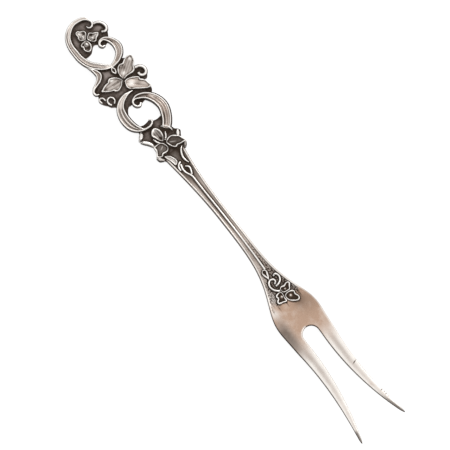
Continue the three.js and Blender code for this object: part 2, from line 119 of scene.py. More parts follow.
def math(tree, operation, *values, clamp=False):
    """Result of a sum, product or other operation on numbers or sockets."""
    sockets = dict(zip(("Value", "Value_001", "Value_002"), values))
    return node(tree, "ShaderNodeMath", sockets, operation=operation, use_clamp=clamp).outputs[0]


NOISE_ROUGHNESS = 0.6
NOISE_MIDDLE = 0.5


def noise(tree, place, scale, detail):
    """Cloudy value about one half, from noise of a scale at a place."""
    sockets = {"Vector": place, "Scale": scale, "Detail": detail, "Roughness": NOISE_ROUGHNESS}
    return node(tree, "ShaderNodeTexNoise", sockets).outputs[0]


def shader_group(name, inputs, outputs):
    """Empty node group with named sockets, and the nodes at its two ends."""
    group = bpy.data.node_groups.new(name, "ShaderNodeTree")
    for title, kind in inputs:
        group.interface.new_socket(title, in_out="INPUT", socket_type="NodeSocket" + kind)
    for title, kind in outputs:
        group.interface.new_socket(title, in_out="OUTPUT", socket_type="NodeSocket" + kind)
    return group, group.nodes.new("NodeGroupInput").outputs, group.nodes.new("NodeGroupOutput").inputs


# Dark colour of tarnish, also used for painted shade.
SULPHIDE_AND_SHADE = (0.034, 0.021, 0.013)
ROSE_TARNISH = (0.53, 0.36, 0.265)
CLOUDS = {"scale": 260, "detail": 4}
SPECKS = {"scale": 1500, "detail": 3}
CLOUD_SHARE = 0.6
SPECK_SHARE = 0.4
BLOOM_CLOUDING = 0.9
BLOOM_LEVEL = 0.95
TARNISH_ROSE = 0.4
POLISH = 0.14
SPECK_DULLING = 0.16
TARNISH_DULLING = 0.28
FILM_COVER = 0.9
FILM_GLOSS = 0.1


def patina_group():
    """Colour, roughness and share of bare metal of old silver.

    Bright silver takes a warm bloom in clouds, then dark tarnish, which also carries painted shade, broken
    up by clouds and specks. This dark layer adds some rose, dulls the surface and covers the metal, each by
    its own share.
    """
    colours = [("Bright", "Color"), ("Bloom Colour", "Color"), ("Dark", "Color")]
    masks = [("Tarnish_and_shade", "Float"), ("Bloom", "Float"), ("Break Up", "Float")]
    results = [("Color", "Color"), ("Roughness", "Float"), ("Metal", "Float")]
    group, given, result = shader_group("Patina", masks + colours, results)
    place = node(group, "ShaderNodeTexCoord", {}).outputs["Object"]
    clouds = noise(group, place, **CLOUDS)
    specks = noise(group, place, **SPECKS)
    mottle = math(group, "MULTIPLY_ADD", clouds, CLOUD_SHARE, math(group, "MULTIPLY", specks, SPECK_SHARE))
    drift = math(group, "MULTIPLY", math(group, "SUBTRACT", mottle, NOISE_MIDDLE), given["Break Up"])
    tarnish_and_shade = math(group, "ADD", given["Tarnish_and_shade"], drift, clamp=True)
    off_middle = math(group, "SUBTRACT", clouds, NOISE_MIDDLE)
    cloudy = math(group, "MULTIPLY_ADD", off_middle, BLOOM_CLOUDING, BLOOM_LEVEL)
    rosy = math(group, "MULTIPLY", given["Bloom"], cloudy)
    bloom = math(group, "MULTIPLY_ADD", tarnish_and_shade, TARNISH_ROSE, rosy, clamp=True)
    warm = mix_colour(group, bloom, given["Bright"], given["Bloom Colour"])
    group.links.new(mix_colour(group, tarnish_and_shade, warm, given["Dark"]), result["Color"])
    speckled = math(group, "MULTIPLY_ADD", specks, SPECK_DULLING, POLISH)
    dull = math(group, "MULTIPLY_ADD", tarnish_and_shade, TARNISH_DULLING, speckled)
    group.links.new(dull, result["Roughness"])
    group.links.new(math(group, "MULTIPLY_ADD", tarnish_and_shade, -FILM_COVER, 1), result["Metal"])
    return group


HAIRLINE_TURNS = (0.3, 1.45)
HAIRLINE_STRETCH = (90, 2600, 400)
HAIRLINE_NOISE = {"scale": 1, "detail": 2}
HAIRLINE_POWER = 3
HAIRLINE_DEPTH = 0.02 * MM
HAIRLINE_STRENGTH = 0.5


def hairline_group():
    """Height of fine wear: thin scratches along two directions, a power of noise stretched along each."""
    group, given, result = shader_group("Hairlines", [("Strength", "Float")], [("Height", "Float")])
    place = node(group, "ShaderNodeTexCoord", {}).outputs["Object"]
    layers = []
    for turn in HAIRLINE_TURNS:
        along = {"Vector": place, "Rotation": (0, 0, turn), "Scale": HAIRLINE_STRETCH}
        slanted = node(group, "ShaderNodeMapping", along).outputs[0]
        layers.append(math(group, "POWER", noise(group, slanted, **HAIRLINE_NOISE), HAIRLINE_POWER))
    both = math(group, "ADD", *layers)
    group.links.new(math(group, "MULTIPLY", both, given["Strength"]), result["Height"])
    return group


PATINA = patina_group()
HAIRLINES = hairline_group()


def silver(name, bright, break_up, wear):
    """Old silver: the patina over the piece's own tarnish and bloom fields, and fine scratches as bump."""
    material = bpy.data.materials.new(name)
    material.use_nodes = True
    tree = material.node_tree
    shader = tree.nodes["Principled BSDF"]
    patina = node(tree, "ShaderNodeGroup", {}, node_tree=PATINA)
    hairlines = node(tree, "ShaderNodeGroup", {}, node_tree=HAIRLINES)
    # This field holds real tarnish, and also painted shade and painted highlights.
    for title in ("Tarnish_and_shade", "Bloom"):
        field = node(tree, "ShaderNodeAttribute", {}, attribute_name=title.lower())
        tree.links.new(field.outputs["Fac"], patina.inputs[title])
    patina.inputs["Break Up"].default_value = break_up
    for title, colour in (("Bright", bright), ("Bloom Colour", ROSE_TARNISH), ("Dark", SULPHIDE_AND_SHADE)):
        patina.inputs[title].default_value = (*colour, 1)
    hairlines.inputs["Strength"].default_value = wear
    relief = {
        "Height": hairlines.outputs["Height"],
        "Distance": HAIRLINE_DEPTH,
        "Strength": HAIRLINE_STRENGTH,
    }
    tree.links.new(node(tree, "ShaderNodeBump", relief).outputs[0], shader.inputs["Normal"])
    for output, title in (("Color", "Base Color"), ("Roughness", "Roughness"), ("Metal", "Metallic")):
        tree.links.new(patina.outputs[output], shader.inputs[title])
    shader.inputs["Specular IOR Level"].default_value = FILM_GLOSS
    return material


MERGE_DISTANCE = 0.0005
SHARP_ANGLE = np.radians(50)


def silver_piece(name, points, faces, fields, material, replaced):
    """Closed mesh of points in millimetres from the crest, with a value of each field at every point.

    Faces are arrays of corner numbers, one array for each count of corners.
    """
    mesh = bpy.data.meshes.new(name)
    mesh.vertices.add(len(points))
    mesh.vertices.foreach_set("co", ((points + [CREST_AT, 0, 0]) * MM).ravel())
    corners = np.concatenate([group.ravel() for group in faces])
    counts = np.concatenate([np.full(len(group), group.shape[1]) for group in faces])
    mesh.loops.add(len(corners))
    mesh.loops.foreach_set("vertex_index", corners)
    mesh.polygons.add(len(counts))
    mesh.polygons.foreach_set("loop_start", np.cumsum(counts) - counts)
    mesh.polygons.foreach_set("use_smooth", np.ones(len(counts), bool))
    mesh.update(calc_edges=True)
    for title, values in fields.items():
        field = mesh.attributes.new(title, "FLOAT", "POINT")
        field.data.foreach_set("value", np.clip(values, 0, 1).ravel())
    shell = bmesh.new()
    shell.from_mesh(mesh)
    bmesh.ops.remove_doubles(shell, verts=shell.verts, dist=MERGE_DISTANCE * MM)
    bmesh.ops.recalc_face_normals(shell, faces=shell.faces)
    shell.to_mesh(mesh)
    shell.free()
    mesh.set_sharp_from_angle(angle=SHARP_ANGLE)
    mesh.materials.append(material)
    piece = bpy.data.objects.new(name, mesh)
    bpy.context.scene.collection.objects.link(piece)
    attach(piece, "root")
    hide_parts(*replaced)


STROKE_STEPS = 10
CENTRIPETAL = 0.5


def stroke(rows, closed=False):
    """Centripetal Catmull-Rom curve through rows, the same count of steps between each two of them."""
    knots = np.array(rows, float)
    before_first, after_last = 2 * knots[:1] - knots[1:2], 2 * knots[-1:] - knots[-2:-1]
    ends = (knots[-1:], knots[:2]) if closed else (before_first, after_last)
    through = np.vstack([ends[0], knots, ends[1]])
    gaps = np.linalg.norm(np.diff(through, axis=0), axis=1)[:, None] ** CENTRIPETAL
    before, here, after = gaps[:-2], gaps[1:-1], gaps[2:]
    a, b, c, d = through[:-3], through[1:-2], through[2:-1], through[3:]
    leave = ((b - a) / before - (c - a) / (before + here) + (c - b) / here) * here
    arrive = ((c - b) / here - (d - b) / (here + after) + (d - c) / after) * here
    t = np.linspace(0, 1, STROKE_STEPS, endpoint=False)[:, None, None]
    square = 3 * (c - b) - 2 * leave - arrive
    cube = 2 * (b - c) + leave + arrive
    line = (b + leave * t + square * t**2 + cube * t**3).transpose(1, 0, 2).reshape(-1, knots.shape[1])
    return line if closed else np.vstack([line, knots[-1:]])


BAND_END_STEPS = 6
BAND_END_CLOSING = 0.97
BAND_END_SHARE = 0.12
BAND_END_HEIGHT = 0.6
BLUNT_REACH = 0.45
BACK_EDGE_BEVEL = 0.12
WALL_STEPS = 3
# Walls are tarnished and painted dark as shade, a little darker toward the foot.
WALL_TARNISH_AND_SHADE = 0.92
WALL_FOOT_TARNISH_AND_SHADE = 0.05
BACK_STAIN = 0.2
BACK_BLOOM = 0.12


def band(line, columns, rise, profile, ground):
    """Closed band of relief: a profile carried along a line of x, y and half width, with rounded ends.

    The profile gives height, tarnish and bloom over the band from its place across (-1 to 1, positive on the
    left), its distance from the edge, its half width and its share of the way along. The band stands on the
    ground's seat, and its walls drop to the ground's foot.
    """
    heading = np.gradient(line[:, :2], axis=0)
    heading = heading / np.linalg.norm(heading, axis=1)[:, None]
    turn = np.linspace(0, np.pi / 2, BAND_END_STEPS + 1)[1:, None] * BAND_END_CLOSING
    reach = np.minimum(line[[0, -1], 2], BLUNT_REACH)
    first = np.c_[line[0, :2] - heading[0] * reach[0] * np.sin(turn), line[0, 2] * np.cos(turn)][::-1]
    last = np.c_[line[-1, :2] + heading[-1] * reach[1] * np.sin(turn), line[-1, 2] * np.cos(turn)]
    travel = np.linspace(0, 1, len(line))[:, None]
    travel = np.vstack([0 * turn, travel, 0 * turn + 1])
    closing = np.vstack([np.cos(turn)[::-1], np.ones((len(line), 1)), np.cos(turn)])
    heading = np.vstack([0 * turn + heading[0], heading, 0 * turn + heading[-1]])
    line = np.vstack([first, line, last])
    half = line[:, 2:]
    across = np.sin(np.linspace(np.pi / 2, -np.pi / 2, columns))[None]
    height, stain_and_shade, warmth = profile(across, (1 - np.abs(across)) * half, half, travel)
    inward = np.clip(np.minimum(travel, 1 - travel) / BAND_END_SHARE, 0, 1)
    lift = rise * (BAND_END_HEIGHT + (1 - BAND_END_HEIGHT) * inward) * np.sqrt(closing)
    bevel = np.minimum(BACK_EDGE_BEVEL, half / 2)
    wall = np.linspace(0, 1, WALL_STEPS + 1)[None, 1:]
    ones = np.ones_like(half)
    on_wall, on_bevel = ones * (1 + 0 * wall), 1 - bevel / half
    ring = np.concatenate([across * ones, -on_wall, -on_bevel, on_bevel, on_wall], 1)
    x = line[:, :1] - heading[:, 1:] * half * ring
    y = line[:, 1:2] + heading[:, :1] * half * ring
    top = ground.seat(x[:, :columns]) + lift * height
    below = ground.foot(x)[:, columns:]
    right_wall, back, left_wall = np.split(below, [WALL_STEPS, WALL_STEPS + 2], axis=1)
    right_wall = top[:, -1:] * (1 - wall) + (right_wall + bevel) * wall
    left_wall = (top[:, :1] * (1 - wall) + (left_wall + bevel) * wall)[:, ::-1]
    z = np.concatenate([top, right_wall, back, left_wall], 1)
    wall_tarnish_and_shade = ones * (WALL_TARNISH_AND_SHADE + WALL_FOOT_TARNISH_AND_SHADE * wall)
    tarnish_and_shade = np.concatenate([stain_and_shade * ones, wall_tarnish_and_shade, 0 * back + BACK_STAIN, wall_tarnish_and_shade[:, ::-1]], 1)
    bloom = np.concatenate([warmth * ones, 0 * below + BACK_BLOOM], 1)
    faces = [quads(*z.shape, True), end_faces(*z.shape)]
    return np.stack([x, y, z], -1).reshape(-1, 3), faces, tarnish_and_shade, bloom


# Painted shade down the sides of wires and on the ledge outside each bead of a scroll.
EDGE_SHADE = 1.0
WIRE_DROP = 0.5
WIRE_POWER = 3
WIRE_BRIGHT = 0.62


def wire(dull, bright=WIRE_BRIGHT):
    """Profile of a bead or wire: a round back that drops to its sides as a power, dull all over by a share.

    It is bright over a share of its half width, and painted shade eases in from there to its edge.
    """
    def profile(across, from_edge, half, travel):
        height = 1 - WIRE_DROP * np.abs(across) ** WIRE_POWER + 0 * half
        return height, dull + EDGE_SHADE * ease(np.abs(across), bright, 1) + 0 * half, 0 * height
    return profile


WIRE_BELOW = 0.45
REEDED_ABOVE = 0.8
EDGE_LINE = 0.3
LEDGE_WIDENS = (0.8, 1.6)
BEAD_RADIUS = 0.36
BEAD_FOOT = 0.5
BEAD_POWER = 4
BEAD_LINE_AT = 2.1 * BEAD_RADIUS
BEAD_LINE_SPREAD = 0.14
BEAD_LINE_CUT = 0.4
BEAD_LINE_STAIN = 0.2
FACE_LEVEL = 0.92
GROOVE_DEPTH = 0.3
GROOVE_FADE = 0.05
FINE_LINE = 0.16
LINE = 0.27
HOLLOW = 0.5
BROAD = 1.2


def reeded(dull, warmth, outer_ledge, inner_ledge, grooves):
    """Profile of a scroll: a round bead along each edge, and a dull face with grooves at places across it.

    A low ledge outside each bead is painted dark as shade, and a fine line lies inside the bead. Each groove
    has a place, a spread in millimetres, a tarnish and the two shares of the scroll's length that it runs
    between; a broad one darkens without cutting. The narrowest stretches close to a plain wire.
    """
    def profile(across, from_edge, half, travel):
        wide = ease(half, WIRE_BELOW, REEDED_ABOVE)
        ledge = np.where(across < 0, outer_ledge, inner_ledge) - EDGE_LINE
        ledge = EDGE_LINE + ledge * ease(half, *LEDGE_WIDENS)
        on_bead = from_edge - ledge + EDGE_LINE
        bead = 1 - (1 - BEAD_FOOT) * np.clip(on_bead / BEAD_RADIUS - 1, -1, 1) ** BEAD_POWER
        inside = ease(on_bead, BEAD_RADIUS, 2 * BEAD_RADIUS)
        bead_line = bump(on_bead, BEAD_LINE_AT, BEAD_LINE_SPREAD)
        cut, shade = BEAD_LINE_CUT * bead_line, BEAD_LINE_STAIN * bead_line
        for place, spread, tarnish_and_shade, start, end in grooves:
            run = ease(travel, start, start + GROOVE_FADE) * (1 - ease(travel, end - GROOVE_FADE, end))
            groove = bump((across - place) * half, 0, spread) * inside * run
            cut = np.maximum(cut, groove * (spread < BROAD))
            shade = shade + groove * tarnish_and_shade
        face = np.where(on_bead < BEAD_RADIUS, bead, np.maximum(bead, FACE_LEVEL - GROOVE_DEPTH * cut))
        stain_and_shade = dull * inside + shade + EDGE_SHADE * (1 - ease(on_bead, 0, EDGE_LINE))
        plain_face, plain_stain_and_shade, nothing = wire(0)(across, from_edge, half, travel)
        height = plain_face + wide * (face - plain_face)
        return height, plain_stain_and_shade + wide * (stain_and_shade - plain_stain_and_shade), warmth * wide * inside + nothing
    return profile


def on_plate(x):
    """Height of the handle's plate under its ornament."""
    return 0 * x + PLATE_THICKNESS


def on_back(x):
    """Height of the underside of the handle's ornament, a hair above the plate's own back."""
    return 0 * x + BACK_CLEARANCE


# A ground has its start along the fork, the heights that ornament stands on and goes down to, and its lines.
Ground = namedtuple("Ground", "start seat foot lines")
HANDLE = Ground(0, on_plate, on_back, [])
SCROLL_HEIGHT = 1.2
SCROLL_COLUMNS = 61
# Each scroll has its profile and its rows of x, y and half width.
SCROLLS = {
    "upper_left_scroll": (reeded(0, 0.25, 0.3, 0.4, [
        (-0.48, LINE, 0.75, 0.52, 0.97), (0.12, LINE, 0.3, 0.6, 0.97)]), [
        [4.7, 2.3, 0.25], [5.4, 2.45, 0.35], [5.85, 3.2, 0.4], [5.5, 4.2, 0.45], [4.3, 4.75, 0.5],
        [2.6, 4.1, 0.65], [1.55, 2.9, 0.75], [0.95, 0.4, 0.85], [1.1, -1.7, 0.9], [2.2, -3.9, 1.05],
        [4.2, -5.9, 1.1], [7.2, -6.95, 1.15], [10.5, -7, 1.25], [13.5, -6.75, 1.3], [17, -5.4, 1.35],
        [19.5, -3.2, 1.35], [21.2, -1.1, 1.1], [22.1, 0.6, 0.75]]),
    "upper_right_scroll": (reeded(0.06, 0.3, 0.5, 0.36, [
        (0.26, LINE, 0.35, 0.1, 0.8), (0.26, LINE, 0.55, 0.45, 0.75),
        (-0.24, FINE_LINE, 0.25, 0.1, 0.6)]), [
        [22.25, 0.8, 0.7], [22, 2.3, 0.9], [21.3, 4.2, 1.2], [19.7, 6.2, 1.5], [17.6, 7.1, 1.65],
        [15.4, 6.9, 1.4], [13.4, 5.9, 1.05], [12.1, 4.4, 0.7], [12.15, 2.9, 0.6], [13.2, 2, 0.56],
        [14.3, 2.5, 0.45], [14.4, 3.4, 0.35]]),
    "branch_scroll": (reeded(0.1, 0.35, 0.5, 0.3, [(0.05, HOLLOW, 0.4, 0.1, 0.8)]), [
        [17.2, -6.6, 0.25], [18.8, -5.9, 0.55], [20.4, -5.35, 0.85], [22.3, -5.1, 1.15], [23.8, -6.3, 0.95],
        [24.7, -8, 0.7], [25.4, -9.5, 0.55], [26.5, -10.4, 0.45], [27.6, -10.2, 0.4], [28, -9.3, 0.3]]),
    "ring_right_scroll": (reeded(0.06, 0.42, 0.64, 0.5, [
        (0.4, LINE, 0.4, 0, 0.6), (0.4, LINE, 0.5, 0, 0.2), (-0.08, LINE, 0.85, 0.4, 0.7),
        (-0.05, LINE, 0.16, 0, 0.4), (-0.3, BROAD, 0.2, -0.05, 0.2),
        (-0.2, BROAD, 0.16, 0.28, 0.62)]), [
        [52.6, 3.4, 1.85], [50.9, 5, 1.95], [48.4, 6.4, 2.05], [45.6, 7.25, 2.05], [42.9, 7, 1.95],
        [40.4, 5.95, 1.75], [38.35, 4.2, 1.5], [37.3, 2, 1.15], [37.1, 0.3, 0.65], [37.6, -0.8, 0.52],
        [38.8, -1.2, 0.5], [40, -0.6, 0.48], [40.35, 0.4, 0.46], [39.8, 1.2, 0.45]]),
    "ring_left_scroll": (reeded(0.12, 0.22, 0.34, 0.62, [
        (0.26, LINE, 0.7, 0.24, 0.58), (-0.34, LINE, 0.65, 0.24, 0.7)]), [
        [34.2, 1.5, 0.2], [34.05, 0, 0.5], [34.3, -1.9, 0.85], [35.2, -4, 1.25], [37.2, -6, 1.62],
        [39.8, -6.9, 1.9], [42.3, -7.05, 1.95], [44.9, -6.6, 1.8], [47, -5.45, 1.3], [48.2, -4.4, 0.72],
        [48.75, -3.3, 0.46], [48.9, -2.1, 0.44], [48.8, -0.9, 0.44], [48.2, 0.25, 0.42], [47.3, 0.5, 0.4],
        [46.7, -0.1, 0.32]]),
}
BRIGHT_RELIEF = (0.94, 0.90, 0.855)
relief_silver = silver("relief_silver", BRIGHT_RELIEF, break_up=0.3, wear=0.6)


def struck(name, ground, line, shape):
    """Piece of relief in old silver, its line kept for the tarnish and painted shade on the ground round it.
    """
    points, faces, tarnish_and_shade, bloom = shape
    ground.lines.append(line)
    fields = {"tarnish_and_shade": tarnish_and_shade, "bloom": bloom}
    silver_piece(name + "_relief", points, faces, fields, relief_silver, [name])


def struck_band(name, ground, rows, columns, rise, profile):
    """Band of relief along rows of x, y and half width, measured from the start of its ground."""
    line = stroke(rows) + [ground.start, 0, 0]
    struck(name, ground, line, band(line, columns, rise, profile, ground))


for name, (profile, rows) in SCROLLS.items():
    struck_band(name, HANDLE, rows, SCROLL_COLUMNS, SCROLL_HEIGHT, profile)

# Leaves and petals of the handle: three-petalled blossoms at the crest and the throat, three leaves between.
# Each is struck with a bright turned-up rim round a dish, with a vein, cut lines or pricked dots in it,
# and the dish holds more or less tarnish. The crest petals have a round seed between dark pits.
LEAF_HEIGHT = 1.08


def inside_distance(x, y, outline):
    """Distance to the nearest side of a closed outline, positive inside by the even-odd rule."""
    run = np.roll(outline, -1, 0) - outline
    off_x, off_y = x[..., None] - outline[:, 0], y[..., None] - outline[:, 1]
    share = np.clip((off_x * run[:, 0] + off_y * run[:, 1]) / (run**2).sum(1), 0, 1)
    distance = np.hypot(off_x - share * run[:, 0], off_y - share * run[:, 1]).min(-1)
    spans = (off_y < 0) != (off_y < run[:, 1])
    rise = np.where(run[:, 1] == 0, 1, run[:, 1])
    crossings = (spans & (off_x < run[:, 0] * off_y / rise)).sum(-1)
    return np.where(crossings % 2 == 1, distance, -distance)


def blob(x, y, at_x, at_y, reach):
    """Round bell of height 1 at a place: the bell of the distance from it, spread over the reach."""
    return bump(np.hypot(x - at_x, y - at_y), 0, reach)


# Each kind of spot adds to the height, then to the tarnish.
SEED = (0.5, -1.0)
PIT = (-0.16, 0.6)
# A gleam is a painted highlight and a shade is painted shade, each with a slight rise or dip.
GLEAM = (0.08, -0.5)
SHADE = (-0.04, 0.3)
PRICK = (-0.12, 0.45)
RIM_WAVES = ((1.9, 0.8), (-0.9, 1.4))
RIM_LEAST = 0.7
RIM_VARIES = 0.6
RIM_FULL_AT = 0.5
RIM_FLAT = 0.75
RIM_SHADOW = 0.3
RIM_SHADOW_REACH = 0.2
VEIN_SPREAD = 0.2
VEIN_STARTS = (0.1, 0.25)
VEIN_ENDS = (0.3, 0.6)
VEIN_HEIGHT = 0.25
VEIN_BRIGHT = 0.75
CUT_DEPTH = 0.05
CUT_STAIN = 0.24
LEAF_EDGE_ROUND = 0.16
LEAF_EDGE_DROP = 0.5
# Painted shade over the rounded outer edge of a leaf.
LEAF_EDGE_SHADE = 0.7
LEAF_EDGE_FROM = 0.2


def dished(
        fill, rim=0.4, soft=0.26, depth=0.4, vein=0.0, lines=0.0, warmth=0.0, worn=0.3, base=0.6, spots=()):
    """Profile of a leaf: an unevenly worn rim round a dish, with a raised vein or cut lines and round spots.

    The rim's width follows the product of two waves and narrows to a share at the leaf's base. The dish
    falls from the rim over a soft width. Each spot has a place, a reach and a kind, which is what it adds to
    the height and to the tarnish.
    """
    def profile(x, y, from_edge, along, across):
        wave, cross_wave = [np.sin(per_x * x + per_y * y) for per_x, per_y in RIM_WAVES]
        uneven = (1 + wave * cross_wave) / 2
        turned = rim * (RIM_LEAST + RIM_VARIES * uneven) * (base + (1 - base) * ease(along, 0, RIM_FULL_AT))
        dish = ease(from_edge, RIM_FLAT * turned, turned + soft)
        edge = rounding(from_edge, LEAF_EDGE_ROUND) / LEAF_EDGE_ROUND
        ridge = vein * bump(across, 0, VEIN_SPREAD) * ease(along, *VEIN_STARTS)
        ridge = ridge * (1 - ease(along, *VEIN_ENDS))
        cut = dish * (((1 + np.cos(2 * np.pi * lines * across)) / 2) ** 2 if lines else 0)
        height = 1 - depth * dish + VEIN_HEIGHT * ridge - CUT_DEPTH * cut - LEAF_EDGE_DROP * edge
        shadow = bump(from_edge, turned + RIM_SHADOW_REACH, RIM_SHADOW_REACH)
        tarnish_and_shade = dish * fill * (1 - VEIN_BRIGHT * ridge) + RIM_SHADOW * shadow + CUT_STAIN * cut
        tarnish_and_shade = tarnish_and_shade + worn * (1 - uneven) * (1 - dish)
        tarnish_and_shade = tarnish_and_shade + LEAF_EDGE_SHADE * ease(edge, LEAF_EDGE_FROM, 1)
        bloom = warmth * dish
        for spot_x, spot_y, reach, (raised, stain_and_shade) in spots:
            spot = blob(x, y, spot_x, spot_y, reach)
            height = height + raised * spot
            tarnish_and_shade = tarnish_and_shade + stain_and_shade * spot
            bloom = bloom * (1 - spot * (stain_and_shade < 0))
        return height, tarnish_and_shade, bloom
    return profile


LEAF_RINGS = 26
RING_CROWDING = 1.3
UNDER_INSET = 0.06
# Leaf walls are tarnished and painted dark as shade.
LEAF_WALL_TARNISH_AND_SHADE = 0.96


def leaf(edge, axis, rise, profile, ground):
    """Closed leaf of relief: rings drawn in from its edge to its middle and raised by a profile.

    The profile works from the place, the distance from the edge, and the place along (0 to 1) and across
    (millimetres) the axis from the leaf's base to its tip. Walls, tarnished and painted dark as shade, drop
    from the edge to the ground's foot, and a ring a little way in there bounds the pale underside.
    """
    to_middle = edge.mean(0) - edge
    rings = edge + to_middle * np.linspace(0, 1, LEAF_RINGS)[:, None, None] ** RING_CROWDING
    x, y = rings[..., 0], rings[..., 1]
    base, tip = np.array(axis, float)
    run = tip - base
    length = np.linalg.norm(run)
    along = ((x - base[0]) * run[0] + (y - base[1]) * run[1]) / length**2
    across = ((x - base[0]) * run[1] - (y - base[1]) * run[0]) / length
    from_edge = np.maximum(inside_distance(x, y, edge), 0)
    height, tarnish_and_shade, bloom = profile(x, y, from_edge, along, across)
    z = ground.seat(x + ground.start) + rise * height
    up = np.linspace(0, 1, WALL_STEPS + 1)[:-1, None]
    wall = ground.foot(x[:1] + ground.start) * (1 - up) + z[:1] * up
    under = edge + to_middle * UNDER_INSET
    x, y = [np.vstack([under[:, side], np.repeat(rings[:1, :, side], WALL_STEPS, 0), rings[..., side]])
            for side in (0, 1)]
    points = np.stack([x + ground.start, y, np.vstack([wall[:1], wall, z])], -1).reshape(-1, 3)
    tarnish_and_shade = np.vstack([0 * wall[:1] + BACK_STAIN, 0 * wall + LEAF_WALL_TARNISH_AND_SHADE, tarnish_and_shade])
    bloom = np.vstack([0 * wall[:1] + BACK_BLOOM, 0 * wall, bloom])
    faces = [quads(*x.shape, True), np.arange(x.shape[1])[None]]
    return points, faces, tarnish_and_shade, bloom


def struck_leaf(name, ground, outline, axis, rise, profile):
    """Leaf of relief inside an outline measured from the start of its ground."""
    edge = stroke(outline, closed=True)
    line = np.c_[edge + [ground.start, 0], np.zeros(len(edge))]
    struck(name, ground, line, leaf(edge, axis, rise, profile, ground))


PRICK_REACH = 0.15
PRICK_ROWS = (28.15, 28.65)
PRICK_PLACES = np.arange(-3.2, -0.6, 0.45)
PRICKS = [(x, y, PRICK_REACH, PRICK) for x in PRICK_ROWS for y in PRICK_PLACES]
